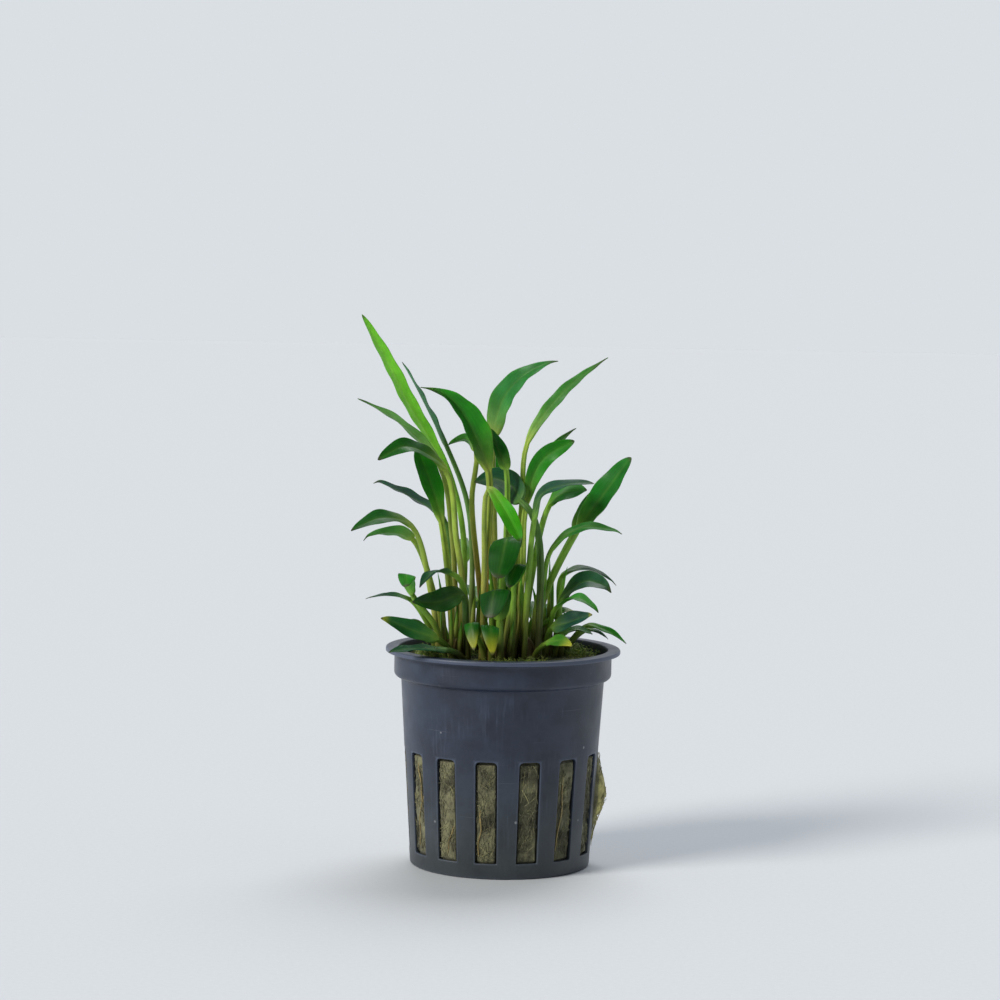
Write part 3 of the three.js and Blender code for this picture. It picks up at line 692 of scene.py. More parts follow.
# Each patch has its middle, its spread and its number of shoots. The third lies over the lip.
patches = [
    (13, 11, 5.5, 230), (17, 3, 3.5, 90), (-15.4, -17.4, 2.6, 120), (4, 17, 4.5, 100),
    (-13, 12, 5, 110), (7, -14, 4.5, 100), (-17, 2, 3.5, 80), (0, -17, 4, 80), (0, 0, 9, 120),
]
lip_patch = 2
*middle, spread, count = np.array(patches).T
patch = np.repeat(np.arange(len(patches)), count.astype(int))
middles = np.stack(middle, -1)[patch]
foot = middles + draw.normal(0, 0.5, middles.shape) * spread[patch, None]
over_lip = patch == lip_patch
farthest = np.where(over_lip, rim_radius + 1.3, wool_edge - 0.3)
foot *= np.minimum(1, farthest / np.hypot(*foot.T))[:, None]
on_lip = np.hypot(*foot.T) > wool_edge
ground = np.where(on_lip, pot_height + 0.15, wool_ground(foot[:, 0], foot[:, 1]) + 1.3 * over_lip)
shoot_count, leaflet_count = len(foot), 7
climb = np.linspace(0.15, 1, leaflet_count)[None]
shoot_tall = draw.uniform(0.7, 2.1, (shoot_count, 1))
shoot_lean = draw.normal(0, 0.35, (shoot_count, 2))
stem = np.stack([
    foot[:, :1] + shoot_lean[:, :1] * shoot_tall * climb,
    foot[:, 1:] + shoot_lean[:, 1:] * shoot_tall * climb,
    ground[:, None] - 0.2 + shoot_tall * climb,
], -1)
bearing = climb * 14 + draw.uniform(0, 6, (shoot_count, 1))
leaflet_long = draw.uniform(0.5, 1.0, (shoot_count, leaflet_count)) * (1.15 - 0.5 * climb)
along = np.linspace(0, 1, 4)
out = leaflet_long[..., None] * along * 0.8
paths = np.stack([
    stem[..., 0, None] + out * np.cos(bearing)[..., None],
    stem[..., 1, None] + out * np.sin(bearing)[..., None],
    stem[..., 2, None] + leaflet_long[..., None] * (0.75 * along - 0.35 * along**2),
], -1).reshape(-1, 4, 3)
radii = np.broadcast_to([0.05, 0.12, 0.09, 0.02], paths.shape[:2])
points, faces = thin_tubes(paths, radii, 3)
moss_shoots = new_piece("moss_shoots", points, faces, moss)


# A few roots have grown out through the wool and wander down the faces of the slots. Their wet
# skin is tan and smooth and lets a little light in. They are round, up to half a millimetre thick,
# and both ends go back into the wool.
root_skin, tree, place = new_material("water_root_skin")
tone = add_node(tree, "TexNoise", {"Vector": place, "Scale": per_metre(3.85), "Detail": 4})
finish_material(tree, {
    "Base Color": add_node(
        tree, "ValToRGB", {"Fac": tone}, ((0.35, linear("#6c5e38")), (0.65, linear("#a29260")))
    ),
    "Roughness": 0.5,
    "Subsurface Weight": 0.3,
    "Subsurface Radius": (1.0, 0.7, 0.4),
    "Subsurface Scale": 0.6 * MM,
})

# Each root has its slot, where it starts and ends in x and z, and how far it wanders
roots = [
    (-2, 1.3, 17.5, -1.0, 4.6, 0.45), (-2, 0.2, 25.4, 1.6, 15.0, 0.3), (-3, -1.5, 22, 0.8, 5.5, 0.5),
    (2, -0.6, 24.5, -1.7, 5.0, 0.4), (5, 0.4, 25.0, 1.5, 6.5, 0.5), (6, -1.4, 18, 1.2, 4.7, 0.4),
    (8, 1.5, 25.2, -0.8, 8.0, 0.6), (-1, 1.6, 12, -0.4, 4.5, 0.3), (0, -1.2, 16, -1.7, 4.6, 0.3),
]
slot, start_x, start_z, end_x, end_z, wander = np.array(roots).T[..., None]
root_steps = 40
t = np.linspace(0, 1, root_steps)[None]
phase = draw.uniform(0, 6, (len(roots), 1))
x = start_x + (end_x - start_x) * t + wander * np.sin(phase + 9 * t) * np.sin(math.pi * t)
x = np.clip(x, -1.9, 1.9)
z = start_z + (end_z - start_z) * t
radius = body_radius(z) - 0.42 - 0.9 * (2 * t - 1) ** 8
paths = to_points(first_slot + slot * slot_period + np.arcsin(x / radius), radius, z)
radii = (0.24 - 0.1 * t) * draw.uniform(0.7, 1.1, (len(roots), 1))
points, faces = thin_tubes(paths, radii, 8)
slot_roots = new_piece("slot_roots", points, faces, root_skin)


# A crown is the short fleshy rootstock that a plantlet's leaves rise from, ringed by the dry
# bases of old leaves. Seven plantlets stand on the wool.
crown_radius = 2.2
crown_height = 5
stub_columns = 28
old_leaves = 9
ground_z = wool_top + wool_gap
crown_places = {
    "left": (-11.5, -4), "left_back": (-7, 6.5), "front": (-1.5, -6), "middle": (-1, 2.5),
    "right": (5.5, -2), "right_back": (3.5, 8.5), "far_right": (10.5, 4),
}

# Rootstock skin: fleshy, dull olive to brown, with dry fibrous scales about 1 mm wide and 6 mm long
rootstock, tree, place = new_material("rootstock_skin")
scale_size = (per_metre(1.11), per_metre(1.11), per_metre(6.25))
upright = add_node(tree, "Mapping", {"Vector": place, "Scale": scale_size})
scale = add_node(tree, "TexNoise", {"Vector": upright, "Scale": 1, "Detail": 5})
scale_stops = ((0.3, linear("#33240f")), (0.5, linear("#6d5a2c")), (0.72, linear("#93934a")))
scaled = add_node(tree, "ValToRGB", {"Fac": scale}, scale_stops)
bump = add_node(tree, "Bump", {"Height": scale, "Strength": 0.7, "Distance": 0.2 * MM})
finish_material(tree, {"Base Color": scaled, "Roughness": 0.6, "Normal": bump})


def crown_surface(middle, seed):
    """A domed stub turned about its own axis and roughened by lumps, with the pointed bases of nine
    old leaves round it: each a short tapering tube that leans outwards."""
    profile = eased([
        (0, 0), (crown_radius, 0), (crown_radius * 0.9, crown_height * 0.45),
        (crown_radius * 0.55, crown_height * 0.85), (0, crown_height),
    ], [0.3, 0.8, 0.8])
    profile = filled_in(profile, 0.4)
    angle = np.arange(stub_columns)[None] * 2 * math.pi / stub_columns
    stub = to_points(angle, profile[:, :1], profile[:, 1:])
    stub = stub * (1 + 0.1 * lumps(stub + 40, 1.3, seed)[..., None])
    own = np.random.default_rng(seed)
    bearing = np.arange(old_leaves)[:, None] * 2.4 + own.uniform(0, 0.5, (old_leaves, 1))
    rise = np.linspace(0, 1, 7)[None]
    tall = own.uniform(2.6, 4.8, (old_leaves, 1))
    out = 1.15 + rise * own.uniform(0.25, 0.95, (old_leaves, 1))
    paths = np.stack([out * np.cos(bearing), out * np.sin(bearing), tall * rise - 0.05], -1)
    radii = 0.62 * (1 - 0.75 * rise**1.5) * own.uniform(0.7, 1.1, (old_leaves, 1))
    scale_points, scale_faces = thin_tubes(paths, radii, 8)
    stub_points, stub_faces = joined([stub])
    points = np.concatenate([stub_points, scale_points]) + [*middle, ground_z]
    points[:, 2] = np.maximum(points[:, 2], ground_z)
    return points, np.concatenate([stub_faces, scale_faces + len(stub_points)])


for seed, (plantlet, middle) in enumerate(crown_places.items(), 31):
    points, faces = crown_surface(middle, seed)
    piece = new_piece(plantlet + "_crown", points, faces, rootstock)
    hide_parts("crown_" + plantlet)


# A leaf grows as one piece: a fleshy, lightly channelled stalk that flattens into a narrow blade
# with a sunk midrib, three pairs of arching veins and a drawn-out tip. The blade is a quarter of a
# millimetre thick and satin, and paler below.
foot_ring = 3.5
stalk_radius, stalk_per_width = 0.44, 0.045
tail_half = 0.12
blade_thickness = 0.26
vein_step = 0.25
route_steps = 60
stalk_rows, blade_rows = 24, 58
section_half = 13

# A tone's two colours are its upper and its under face, and after them come its roughness, the
# share of light that it scatters through, and how far its veins stand out
leaf_tones = {
    "lime": ("#4a9014", "#68ac2c", 0.44, 0.36, 0.08),
    "fresh": ("#1f7a10", "#3a8620", 0.42, 0.28, 0.05),
    "deep": ("#0f5608", "#2a7018", 0.4, 0.2, 0.035),
    "dusk": ("#12462e", "#2c6040", 0.42, 0.16, 0.04),
    "pale": ("#3f8038", "#528e44", 0.48, 0.28, 0.08),
}
# A stalk's two colours are those of its lower and its upper half
stalk_tones = {
    "light": ("#bcbc60", "#a8c452"), "green": ("#98b048", "#86b644"), "olive": ("#b0a856", "#9cac4e"),
    "tan": ("#cc9648", "#9cae48"), "dark": ("#6c7c40", "#5a8440"),
}
foot_colour = "#40321a"
midrib_colour = "#84ab4c"
# The margin's colour is partly its own and partly painted shade of the rolled edge
margin_and_painted_shade_colour = "#26331a"
dry_colour = "#3d3b2a"
yellow_colour = "#b4b32c"
vein_colour = "#6eb44a"


def leaf_skin(name, roughness, glow, vein_share):
    """Fresh leaf, satin and waxy: clouds of green about 5 mm wide, fine streaks 3 mm long, faint
    paler veins that are sunk a little, and light coming through. The mesh gives its colour, and its
    place on the leaf as across (-1 to 1), millimetres along, and the share of the blade."""
    material, tree, place = new_material(name)
    tint = add_node(tree, "Attribute", attribute_name="tint")
    on_leaf = add_node(tree, "Attribute", attribute_name="leaf_place").outputs["Vector"]
    noise = {"Vector": place, "Scale": per_metre(4.76), "Detail": 5, "Roughness": 0.6}
    cloud = add_node(tree, "TexNoise", noise)
    cloud_stops = ((0.3, (0.66, 0.72, 0.62, 1)), (0.7, (1.24, 1.18, 1.2, 1)))
    clouds = add_node(tree, "ValToRGB", {"Fac": cloud}, cloud_stops)
    drawn = add_node(tree, "Mapping", {"Vector": on_leaf, "Scale": (9, 0.3, 0)})
    streak = add_node(tree, "TexNoise", {"Vector": drawn, "Scale": 1.0, "Detail": 4, "Roughness": 0.6})
    streak_stops = ((0.32, (0.86, 0.88, 0.84, 1)), (0.68, (1.1, 1.08, 1.1, 1)))
    streaks = add_node(tree, "ValToRGB", {"Fac": streak}, streak_stops)
    clouded = add_node(tree, "Mix", {"Factor": 1.0, "A": tint, "B": clouds}, **times)
    green = add_node(tree, "Mix", {"Factor": 1.0, "A": clouded, "B": streaks}, **times)

    # A vein lies wherever the cosine of the place across is near 1
    across = add_node(tree, "SeparateXYZ", {"Vector": on_leaf}).outputs["X"]
    spaced = add_node(tree, "Math", {0: across, 1: 2 * math.pi / vein_step}, operation="MULTIPLY")
    wave = add_node(tree, "Math", {0: spaced}, operation="COSINE")
    vein_stops = ((0.6, black), (1.0, (vein_share, vein_share, vein_share, 1)))
    vein = add_node(tree, "ValToRGB", {"Fac": wave}, vein_stops)
    veined = add_node(tree, "Mix", {"Factor": vein, "A": green, "B": linear(vein_colour)}, data_type="RGBA")
    rough = add_node(tree, "MapRange", {
        "Value": cloud, "From Min": 0.3, "From Max": 0.7,
        "To Min": roughness - 0.06, "To Max": roughness + 0.1,
    })
    relief = add_node(tree, "Math", {0: streak, 1: vein}, operation="SUBTRACT")
    finish_material(tree, {
        "Base Color": veined,
        "Roughness": rough,
        "Normal": add_node(tree, "Bump", {"Height": relief, "Strength": 0.45, "Distance": 0.1 * MM}),
        "Specular IOR Level": 0.2,
        "Subsurface Weight": glow,
        "Subsurface Radius": (0.5, 1.0, 0.12),
        "Subsurface Scale": 0.9 * MM,
        "Coat Weight": 0.05,
        "Coat Roughness": 0.25,
    })
    return material


leaf_materials = {tone: leaf_skin("leaf_skin_" + tone, *row[2:]) for tone, row in leaf_tones.items()}


def leaf_route(points):
    """A smooth line through the points: each span is a cubic between two of them whose end slopes
    come from their neighbours, with the points spaced by the square root of their distance.
    Gives the line's points and the length along it at each."""
    points = np.array(points, float)
    ends = 2 * points[[0, -1]] - points[[1, -2]]
    points = np.vstack([ends[:1], points, ends[1:]])
    gaps = np.linalg.norm(np.diff(points, axis=0), axis=1)[:, None] ** 0.5
    p0, p1, p2, p3 = points[:-3], points[1:-2], points[2:-1], points[3:]
    g0, g1, g2 = gaps[:-2], gaps[1:-1], gaps[2:]
    leave = ((p1 - p0) / g0 - (p2 - p0) / (g0 + g1) + (p2 - p1) / g1) * g1
    arrive = ((p2 - p1) / g1 - (p3 - p1) / (g1 + g2) + (p3 - p2) / g2) * g1
    t = np.linspace(0, 1, route_steps, endpoint=False)[None, :, None]
    p1, p2, leave, arrive = (each[:, None] for each in (p1, p2, leave, arrive))
    line = p1 + leave * t + (3 * p2 - 3 * p1 - 2 * leave - arrive) * t**2
    line = line + (2 * p1 - 2 * p2 + leave + arrive) * t**3
    line = np.vstack([line.reshape(-1, 3), points[-2:-1]])
    lengths = np.concatenate([[0], np.cumsum(np.linalg.norm(np.diff(line, axis=0), axis=1))])
    return line, lengths


def unit(vectors):
    """The vectors at length 1."""
    return vectors / np.linalg.norm(vectors, axis=-1, keepdims=True)


def leaf_surface(foot, stalk_points, blade_points, shape, own):
    """A leaf as a grid: rows along its route, columns round its section. The half width is that of
    the blade, s^swell (1 - s)^taper scaled to 1 at its greatest, and that of the stalk, which fades
    over the first three tenths of the blade. Columns lie at the sines of angles, so that they crowd
    at the edges. The height is the fold's V with a rounded valley, a wave along the margin, and
    half the thickness above or below. On the stalk the section is round, with a channel above."""
    width, swell, taper = shape["width"], shape.get("swell", 0.62), shape.get("taper", 0.95)
    fold, roll = math.radians(shape.get("fold", 14)), math.radians(shape.get("roll", 0))
    line, lengths = leaf_route([foot, *stalk_points, *blade_points])
    total = lengths[-1]
    neck = lengths[route_steps * (1 + len(stalk_points))]
    swing = np.linspace(0, math.pi, blade_rows + 1)
    stalk_at = neck * np.linspace(0, 1, stalk_rows, endpoint=False) ** 1.25
    at = np.concatenate([stalk_at, neck + (total - neck) * (1 - np.cos(swing)) / 2])
    route = np.column_stack([np.interp(at, lengths, line[:, k]) for k in range(3)])
    slope = np.gradient(line, lengths, axis=0)
    along = unit(np.column_stack([np.interp(at, lengths, slope[:, k]) for k in range(3)]))
    along = unit(along + (1 - smooth(0, 0.12 * neck, at))[:, None] * ([[0, 0, 1]] - along))
    lean = unit(np.array([*(blade_points[-1] - foot)[:2], 0.0]))
    across = np.array([-lean[1], lean[0], 0.0])
    side = unit(across - along * (along @ across)[:, None])
    up = np.cross(along, side)
    s = np.clip((at - neck) / (total - neck), 0, 1)[:, None]
    turn = roll + own.normal(0, 0.05) + 0.16 * np.sin(2.2 * s + own.uniform(0, 3)) * np.sin(math.pi * s)
    edgeway = side * np.cos(turn) + up * np.sin(turn)
    faceway = up * np.cos(turn) - side * np.sin(turn)

    def outline(p):
        return p**swell * (1 - p) ** taper

    blade = width / 2 * outline(s) / outline(swell / (swell + taper))
    stalk = stalk_radius + stalk_per_width * width
    stalk = stalk * (1 + 0.15 * np.sin(math.pi * np.minimum(1, at / neck)))[:, None]
    stalk = stalk * (1 + 0.2 * np.exp(-at / 1.8))[:, None]
    half = blade * math.cos(fold) + np.maximum(stalk * (1 - s / 0.3), tail_half)
    tip_round = np.sqrt(np.clip(1 - (np.maximum(s - 0.985, 0) / 0.0151) ** 2, 0, 1))
    half = half * tip_round
    lift = blade * math.sin(fold)

    even = np.arange(-section_half, section_half + 1) / section_half
    over = np.sign(even) * np.sin(math.pi / 2 * np.abs(even) ** 1.35)
    c = np.concatenate([over, over[-2:0:-1]])[None]
    upper = np.concatenate([np.ones(len(over)), np.zeros(len(over) - 2)])[None]
    sign = 2 * upper - 1
    x = half * c
    round_off = np.sqrt(np.clip(1 - c**2, 0, 1))
    bladeness = smooth(0.0, 0.3, s)
    valley = lift * (0.68 * (np.sqrt(c**2 + 0.012) - 0.11) + 0.36 * c**2)
    phase = own.uniform(0, 6, 2)
    beat = 2 * math.pi * (at[:, None] - neck) / own.uniform(6.0, 9.0)
    margin = np.where(c > 0, np.sin(beat + phase[0]), np.sin(beat * 1.13 + phase[1]))
    ripple = 0.22 * margin * np.abs(c) ** 2.2 * np.sin(math.pi * s) ** 0.7
    thin = blade_thickness / 2 * (1 - 0.35 * s) * np.clip(1 - c**6, 0, 1) ** 0.5
    veins = 0.012 * np.cos(2 * math.pi * c / vein_step) * (1 - c**2) * np.sin(math.pi * s)
    groove = 0.13 * np.exp(-((x / 0.42) ** 2)) * (1 - 0.6 * s)
    rib = 0.3 * np.exp(-((x / 0.5) ** 2)) * (1 - s) ** 0.8
    flat = valley + ripple + np.where(upper > 0, thin - groove - veins, -thin - rib - veins)
    channel = 0.42 * np.exp(-((c / 0.5) ** 2)) * upper
    round_stalk = stalk * (sign * round_off * (1 - channel * np.clip(3 * at / neck, 0.2, 1)[:, None]))
    height = (1 - bladeness) * round_stalk + bladeness * flat
    height = height * np.maximum(tip_round, 0.02)
    middle = route - faceway * lift / 2
    middle = middle - np.array([0, 0, shape.get("hook", 0.3)]) * smooth(0.86, 1.04, s) ** 2
    points = middle[:, None] + edgeway[:, None] * x[..., None] + faceway[:, None] * height[..., None]
    start = route[:1, None] + 0 * points[:1]
    end = middle[-1:, None] + 0 * points[:1]
    c, along, s, upper = np.broadcast_arrays(c, at[:, None], s, upper)
    share = np.minimum(1, along / neck)
    places = [np.concatenate([each[:1], each, each[-1:]]) for each in (c, along, s, upper, x, share)]
    return np.concatenate([start, points, end]), places


def leaf_tint(places, shape, own):
    """The colour of each point of a leaf: its tone's upper or under green, darker towards the tip
    and over one half by the share shaded, a paler midrib, a dark margin that is partly its own colour
    and partly painted shade where the edge rolls, yellow where it turns, a dry tip, and a yellower base
    that passes into the stalk, which is brown at its foot."""
    c, along, s, upper, x, share = places
    turning, dry = shape.get("turning", 0), shape.get("dry", 0.07)
    codes = [*shape["greens"], *stalk_tones[shape.get("stalk", "green")]]
    codes += [foot_colour, midrib_colour, margin_and_painted_shade_colour, dry_colour, yellow_colour]
    top, under, low, high, base, mid, edge, brown, yellow = (np.array(linear(code)[:3]) for code in codes)

    def mixed(first, second, share):
        return first + (second - first) * share[..., None]

    tint = mixed(under, top, upper)
    shaded = shape.get("shaded", 0.09 * np.sign(own.uniform(-1, 1)))
    tint = tint * (1.14 - 0.28 * s + shaded * np.tanh(5 * c))[..., None]
    tint = mixed(tint, mid, 0.25 * np.exp(-((x / 0.4) ** 2)) * (1 - 0.8 * s))
    # The margin's dark band is partly its own colour and partly painted shade of the rolled edge
    tint = mixed(tint, edge, 0.55 * smooth(0.9, 1.0, np.abs(c)) * smooth(0.05, 0.3, s))
    if turning:
        tint = mixed(tint, yellow, 0.8 * smooth(1 - turning, 1.02, s))
    tint = mixed(tint, brown, 0.85 * smooth(1 - dry, 1 - 0.2 * dry, s))
    stem_tint = mixed(low, high, smooth(0.15, 0.8, share))
    stem_tint = mixed(stem_tint, base, 0.85 * np.exp(-((along / 9) ** 1.5)))
    stem_tint = stem_tint * (1 - 0.2 * upper * np.exp(-((c / 0.5) ** 2)))[..., None]
    tint = mixed(tint, stem_tint, 0.3 * (1 - smooth(0.05, 0.45, s)) + 0.7 * (1 - smooth(-0.03, 0.16, s)))
    return np.clip(tint * (1 + own.normal(0, 0.05)), 0, 1)


def leaf(name, green, bearing, shape, *blade):
    """One leaf's row: its name, its green, the bearing of its foot on the crown's ring (0 is right,
    90 is back), its shape with any points on its stalk, and its blade's points to the tip. A shape
    gives the width and whatever is unusual: the roll and the fold in degrees, the swell and taper of
    the outline, how far the tip hooks down, and the shares that are dry, turning or shaded."""
    return name, green, bearing, shape, blade


def grow(plantlet, *leaves):
    """The leaves of one plantlet, in a ring about its crown. A leaf with no points given on its
    stalk first rises and then bends over towards its neck."""
    middle = np.array([*crown_places[plantlet], ground_z])
    for name, green, bearing, shape, blade in leaves:
        turn = math.radians(bearing)
        foot = middle + foot_ring * np.array([math.cos(turn), math.sin(turn), 0])
        blade_points = [np.array(point, float) for point in blade]
        bend = foot + (blade_points[0] - foot) * [0.3, 0.3, 0.48]
        stalk_points = [np.array(point, float) for point in shape.get("through", [bend])]
        own = np.random.default_rng(sum(map(ord, name)))
        grid, places = leaf_surface(foot, stalk_points, blade_points, shape, own)
        tint = leaf_tint(places, {"greens": leaf_tones[green][:2], **shape}, own)
        points, faces = joined([grid])
        attributes = {
            "tint": np.concatenate([tint, 1 + 0 * tint[..., :1]], -1).reshape(-1, 4),
            "leaf_place": np.stack(places[:3], -1).reshape(-1, 3),
        }
        piece = new_piece(name + "_leaf", points, faces, leaf_materials[green], attributes)
        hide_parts("leaf_" + name)


# The left plantlet has the leaves that arch out to the left and low over the rim
grow(
    "left",
    leaf("front_strap", "dusk", 24, dict(width=4, through=[(-9.5, -5.5, 65)]),
         (-12.5, -8.5, 68), (-16.2, -12.5, 68.5), (-19, -15, 65.3)),
    leaf("left_arching", "deep", 56,
         dict(width=4.8, roll=-42, taper=0.75, stalk="light", through=[(-9.6, -3.2, 66), (-11, -4.4, 75)]),
         (-13.8, -4.8, 91), (-22.5, -8, 96.5), (-29, -10, 93.5)),
    leaf("left_inner", "fresh", 90, dict(width=5.8, roll=-75, swell=0.9, taper=0.6, stalk="light"),
         (-14.6, -2.6, 79), (-16.9, -2.6, 87.5), (-20.3, -2.6, 96)),
    leaf("left_drooping_small", "pale", 123, dict(width=4, roll=30, stalk="light", dry=0.14, hook=1.2),
         (-21, -7, 75.3), (-26, -9, 77.2), (-32, -10, 75.8)),
    leaf("left_thin_arch", "dusk", 153, dict(width=3, roll=5, dry=0.25),
         (-21.5, -6, 61.5), (-26.5, -6, 62.5), (-31.5, -6, 61.5)),
    leaf("left_low_small", "deep", 182, dict(width=3, roll=-20),
         (-17.5, -6.3, 55), (-19.7, -7.8, 56.6), (-22, -9, 56.2)),
    leaf("left_drooping", "deep", 214,
         dict(width=4.6, roll=-30, stalk="light", greens=("#1a581c", "#327a2c")),
         (-21, -11, 78.5), (-27.5, -14, 80.8), (-34.5, -17, 78)),
    leaf("left_rolled", "fresh", 246, dict(width=4, fold=-15, taper=0.5),
         (-20.8, -13, 63.5), (-21.8, -17, 68), (-21.8, -20, 66)),
    leaf("left_low", "dusk", 280, dict(width=4.4, roll=-55, turning=0.2, greens=("#1f5c2a", "#33703a")),
         (-15, -13, 53.3), (-21.5, -15.5, 56), (-27.5, -18, 58.6)),
    leaf("left_rim", "dusk", 319, dict(width=4.5, roll=-20, stalk="dark"),
         (-13, -17.8, 51.5), (-20, -21, 52.2), (-25.5, -22.5, 51.5)),
    leaf("front_broad", "deep", 350, dict(width=5.4, roll=-60, stalk="dark", greens=("#124c0c", "#1c6014")),
         (-9.5, -7.5, 62.7), (-15, -13, 61.7), (-20.5, -18, 62.3)),
)

# The plantlet behind it carries the tall spear
grow(
    "left_back",
    leaf("pale_small", "pale", 30,
         dict(width=3.2, roll=40, stalk="tan", through=[(-5.9, 8.6, 65), (-7.8, 8.6, 83)]),
         (-7, 9, 94.5), (-9.3, 9, 97.5), (-13.5, 9, 96)),
    leaf("rear_left_low", "deep", 68, dict(width=4.5),
         (-5.5, 13, 59), (-7, 20, 62), (-6.5, 27, 56)),
    leaf("thin_upright", "dusk", 106,
         dict(width=3, roll=20, stalk="dark", greens=("#3a6b4c", "#4c8060"),
              through=[(-7.5, 10.4, 70), (-9, 10.5, 83)]),
         (-14, 10.4, 95.7), (-20, 10, 107.5), (-24.5, 10, 115)),
    leaf("rear_left_arch", "deep", 145, dict(width=4.5),
         (-9.5, 14.5, 68), (-11, 21, 73), (-11.5, 29, 67)),
    leaf("tall_spear", "lime", 180,
         dict(width=3.6, roll=50, swell=1, taper=0.8, dry=0.04, shaded=0.2,
              through=[(-9.3, 6, 62), (-9.5, 6.2, 74)]),
         (-11.9, 6.3, 86), (-17, 6.1, 96.5), (-22.4, 4.5, 105.5), (-26.5, 3, 113.5), (-33.5, 1, 126)),
    leaf("left_dark", "dusk", 212,
         dict(width=3.8, roll=35, swell=0.8, stalk="dark", dry=0.14, hook=1.4,
              greens=("#12322a", "#1e443a"), through=[(-11.1, 3.6, 61), (-12.5, 3, 71)]),
         (-14.2, 2.1, 79.3), (-21.5, 3, 84.3), (-30.5, 4, 88)),
    leaf("left_upper_narrow", "pale", 250,
         dict(width=2.9, roll=35, swell=0.75, taper=1.2, stalk="olive", dry=0.16,
              greens=("#427a3c", "#5c9048"), through=[(-10.9, 1.6, 60.5), (-12, 0.8, 74.5)]),
         (-15.2, 0.2, 91.5), (-24, -2, 101.4), (-34, -4, 107)),
)

# The front plantlet has the broad folded leaf and those that hang in front
grow(
    "front",
    leaf("centre_folded", "fresh", 150,
         dict(width=7.5, roll=-70, fold=30, swell=1.1, taper=1.9, stalk="tan", dry=0.24, shaded=-0.3),
         (-4, -3, 90.5), (-8.4, -5, 102.4), (-13.6, -6.6, 108), (-19.7, -8, 110)),
    leaf("front_lime", "lime", 190,
         dict(width=3.8, roll=40, swell=0.8, taper=0.6, stalk="olive", greens=("#3c9c06", "#58b41a")),
         (-4, -9, 87), (0, -12, 82.5), (3.5, -14, 76)),
    leaf("rim_front_left", "deep", 222, dict(width=3.4, fold=-12, taper=0.8, turning=0.42),
         (-5.9, -12, 54), (-7.2, -16, 57.3), (-6.5, -20, 52)),
    leaf("rim_front_right", "deep", 252, dict(width=4, fold=-12, taper=0.8, turning=0.42),
         (-2.7, -12.5, 53.5), (-3, -18, 56.9), (-2.3, -22, 51.2)),
    leaf("front_low", "deep", 285,
         dict(width=7, fold=-12, taper=0.5, greens=("#0c460c", "#1e5c1c")),
         (-1, -9.5, 57.5), (-2, -13, 64.3), (-3, -17.5, 59)),
    leaf("front_hanging_small", "deep", 5, dict(width=4.3, fold=-10, taper=0.6),
         (2.2, -6.5, 65.5), (2.7, -10, 70), (1, -13.5, 65.5)),
    leaf("front_hanging", "deep", 80,
         dict(width=7, fold=-10, taper=0.5, greens=("#0c5004", "#1e6a14")),
         (0, -4.2, 71), (0.5, -10.5, 76), (-1.5, -18, 68)),
)

# The middle plantlet stands upright
grow(
    "middle",
    leaf("centre_inner", "deep", 290, dict(width=4, roll=-50, fold=30, through=[(0.3, -1.6, 72)]),
         (0, -1.5, 91), (-2, 0.2, 96.2), (-4, 0.5, 100.5)),
    leaf("rear_middle", "deep", 60, dict(width=4),
         (-1.9, 9, 63.5), (-1.9, 15, 67.5), (-1.7, 22, 61)),
    leaf("centre_tall", "fresh", 110,
         dict(width=6, roll=70, swell=0.7, taper=1.4, stalk="olive", dry=0.14, hook=0.8,
              greens=("#2a7c38", "#3c8c4c")),
         (-3, 6, 98), (-1.3, 5, 106.5), (3.3, 3, 112.3), (11.5, 1, 116.5)),
)

# The right plantlet has the long narrow leaf and the dark strap that folds over
grow(
    "right",
    leaf("right_low", "deep", 15, dict(width=5.5, roll=45, turning=0.12, greens=("#17453a", "#2c5f45")),
         (11.3, -7, 55.7), (15, -10, 57.5), (20, -12, 59.5)),
    leaf("right_arching", "fresh", 45,
         dict(width=2.8, roll=40, swell=0.7, taper=1.1, hook=1, greens=("#1e6a20", "#38803a")),
         (10.6, -3.6, 73), (17.5, -6, 78.5), (26.5, -8, 78)),
    leaf("right_tall_narrow", "pale", 170,
         dict(width=2.8, roll=45, swell=0.9, taper=1.4, stalk="light", dry=0.22,
              through=[(2.9, -0.1, 66), (3.8, 1.6, 84)]),
         (4.8, 2.5, 97), (12.8, 4, 108.8), (23, 5, 117)),
    leaf("right_upper", "fresh", 205,
         dict(width=4.2, roll=65, swell=1, taper=0.75, stalk="light", through=[(4.1, -1.7, 66)]),
         (4.7, -0.1, 83), (8.2, 0, 93.2), (15.5, 0.5, 98)),
    leaf("right_strap", "dusk", 258, dict(width=4.5, roll=25, swell=0.85, greens=("#1f4c3a", "#24682a")),
         (6.5, -7, 80), (8, -6, 85.8), (13.5, -6, 88.3), (20, -7, 88.8)),
    leaf("right_yellowing", "deep", 290, dict(width=3, roll=40, turning=0.5, greens=("#3d7a24", "#5a8c2c")),
         (10, -11, 52.6), (12.5, -14, 53.6), (15.5, -17, 52.8)),
    leaf("centre_shaded", "dusk", 318,
         dict(width=6.5, roll=-85, stalk="dark", through=[(7.8, -4.4, 75), (5.8, -4, 81.6)]),
         (3.5, -2.8, 84), (1.3, 1.5, 87), (-2.5, 3.5, 88.6), (-7.3, 4.7, 87.8)),
)

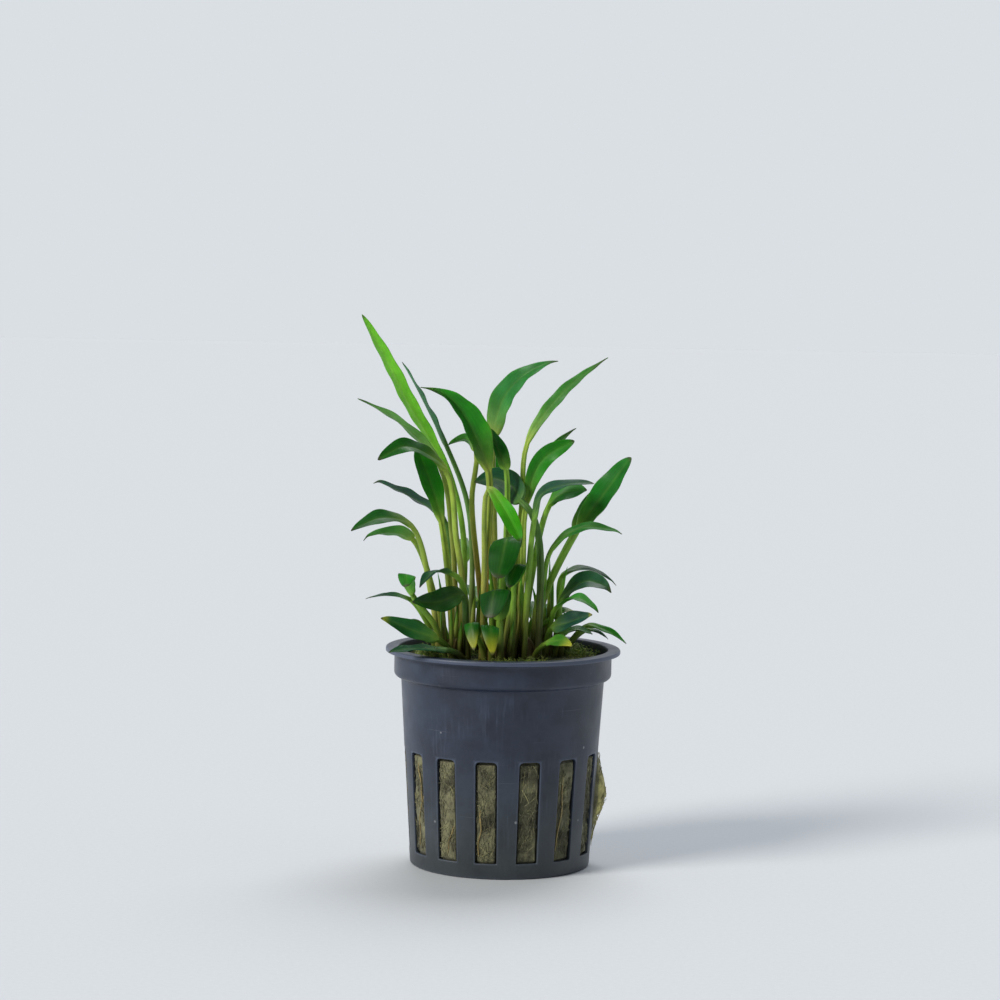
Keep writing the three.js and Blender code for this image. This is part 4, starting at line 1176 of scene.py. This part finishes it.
# The plantlet at the back right fills the rear and carries the large leaf
grow(
    "right_back",
    leaf("rear_right_tall", "deep", 25, dict(width=4.2, roll=60),
         (16.3, 10, 76.3), (20.7, 16, 83), (24.8, 21, 87)),
    leaf("rear_right_low", "deep", 60, dict(width=4.5),
         (7, 14, 55), (9, 20, 58), (10, 27, 53)),
    leaf("rear_right_arch", "deep", 93, dict(width=5),
         (4, 16, 63.5), (4.5, 23, 67.5), (3, 31, 61)),
    leaf("rear_tall", "fresh", 125, dict(width=4.5),
         (0.6, 12.5, 79), (-3, 16, 92), (-4, 20, 103)),
    leaf("right_upper_behind", "pale", 250, dict(width=1.8, roll=40, dry=0.4),
         (6.5, 5, 90.3), (10.5, 6, 95.6), (16, 7, 100.5)),
    leaf("right_short", "deep", 285, dict(width=5.2, roll=50, swell=0.85, greens=("#1c7a1c", "#28861c")),
         (10, -1, 83), (13, -2, 86), (18.5, -3, 87)),
    leaf("right_large", "deep", 330,
         dict(width=5.9, roll=65, taper=0.7, greens=("#146c1a", "#28782a")),
         (17, 3, 77.5), (22.5, 1, 86), (28.5, -1, 94.5)),
)

# The far right plantlet spreads low over the rim
grow(
    "far_right",
    leaf("rim_right_small", "dusk", 22, dict(width=2, roll=10),
         (19.5, 9, 53.3), (22, 10, 52.8), (24.5, 10, 51.2)),
    leaf("right_thin", "dusk", 55, dict(width=4, roll=5, hook=0.8),
         (13.5, 8, 66), (19.5, 8, 67.8), (26, 7, 64.5)),
    leaf("right_low_olive", "deep", 175, dict(width=3.5, roll=20, turning=0.6, through=[(7.3, 4.4, 53)]),
         (11.5, 4.7, 56.6), (14, 4.2, 58.3), (17, 3.7, 57.7)),
    leaf("right_lower_arch", "fresh", 258, dict(width=3.4, roll=20, swell=0.85, hook=0.8),
         (12, -4.5, 60), (16.5, -7, 62.7), (21.5, -9, 60)),
    leaf("right_lowest", "deep", 290, dict(width=3.5, roll=20),
         (13, -1.5, 53), (16.5, -1.5, 54.7), (20.5, -1, 53.7)),
    leaf("right_middle", "dusk", 322,
         dict(width=6, roll=45, swell=0.85, dry=0.1, hook=1.4, greens=("#1a4c30", "#2c6442")),
         (13, 1, 60.5), (18.5, -1.5, 66), (24.5, -4, 64.5)),
    leaf("rim_right", "fresh", 352, dict(width=2.2, roll=20),
         (19.5, 3, 55), (24, 3, 54), (28.5, 4, 51)),
)


# Young leaves, still rolled into slender spikes, stand close between the stalks on each crown:
# yellow green and fleshy, brown at the foot, each curving a little outwards. Their skin is that of
# the fresh leaves.
spikes_each = 9
spike_steps, spike_sides = 16, 10
spike_colours = (foot_colour, "#94a04a", "#7cae3c", "#3f8a24")
spike_marks = (0.1, 0.45, 0.7, 1)
draw = np.random.default_rng(17)
middles = np.repeat(list(crown_places.values()), spikes_each, axis=0)
spike_count = len(middles)
bearing = draw.uniform(0, 2 * math.pi, (spike_count, 1))
start = draw.uniform(0.8, 3.1, (spike_count, 1))
tall = draw.uniform(6, 22, (spike_count, 1))
t = np.linspace(0, 1, spike_steps)[None]
leant = draw.uniform(0.02, 0.16, (spike_count, 1)) * t
curved = draw.uniform(0, 0.1, (spike_count, 1)) * t**3
reach = start + tall * (leant + curved)
paths = np.stack([
    middles[:, :1] + reach * np.cos(bearing),
    middles[:, 1:] + reach * np.sin(bearing),
    ground_z + tall * t,
], -1)
radii = draw.uniform(0.36, 0.6, (spike_count, 1)) * (1 + 0.25 * np.sin(math.pi * t)) * (1 - 0.93 * t**5)
points, faces = thin_tubes(paths, radii, spike_sides)

# The colour runs through the four colours at their marks, from the foot to the tip
t = np.concatenate([[0], t[0], [1]])[None, :, None]
t = np.broadcast_to(t, (spike_count, spike_steps + 2, spike_sides))
colours = np.array([linear(code)[:3] for code in spike_colours])
tint = np.stack([np.interp(t, spike_marks, colours[:, k]) for k in range(3)], -1)
tint = tint * draw.uniform(0.75, 1.1, (spike_count, 1, 1, 1))
tint = np.concatenate([tint, 1 + 0 * tint[..., :1]], -1)
leaf_place = np.stack([0.1 + 0 * t, t * tall[:, :, None], 0 * t], -1)
spikes = new_piece(
    "young_leaves", points, faces, leaf_materials["fresh"],
    {"tint": tint.reshape(-1, 4), "leaf_place": leaf_place.reshape(-1, 3)},
)


# The box round every shown piece but the table
low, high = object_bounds()
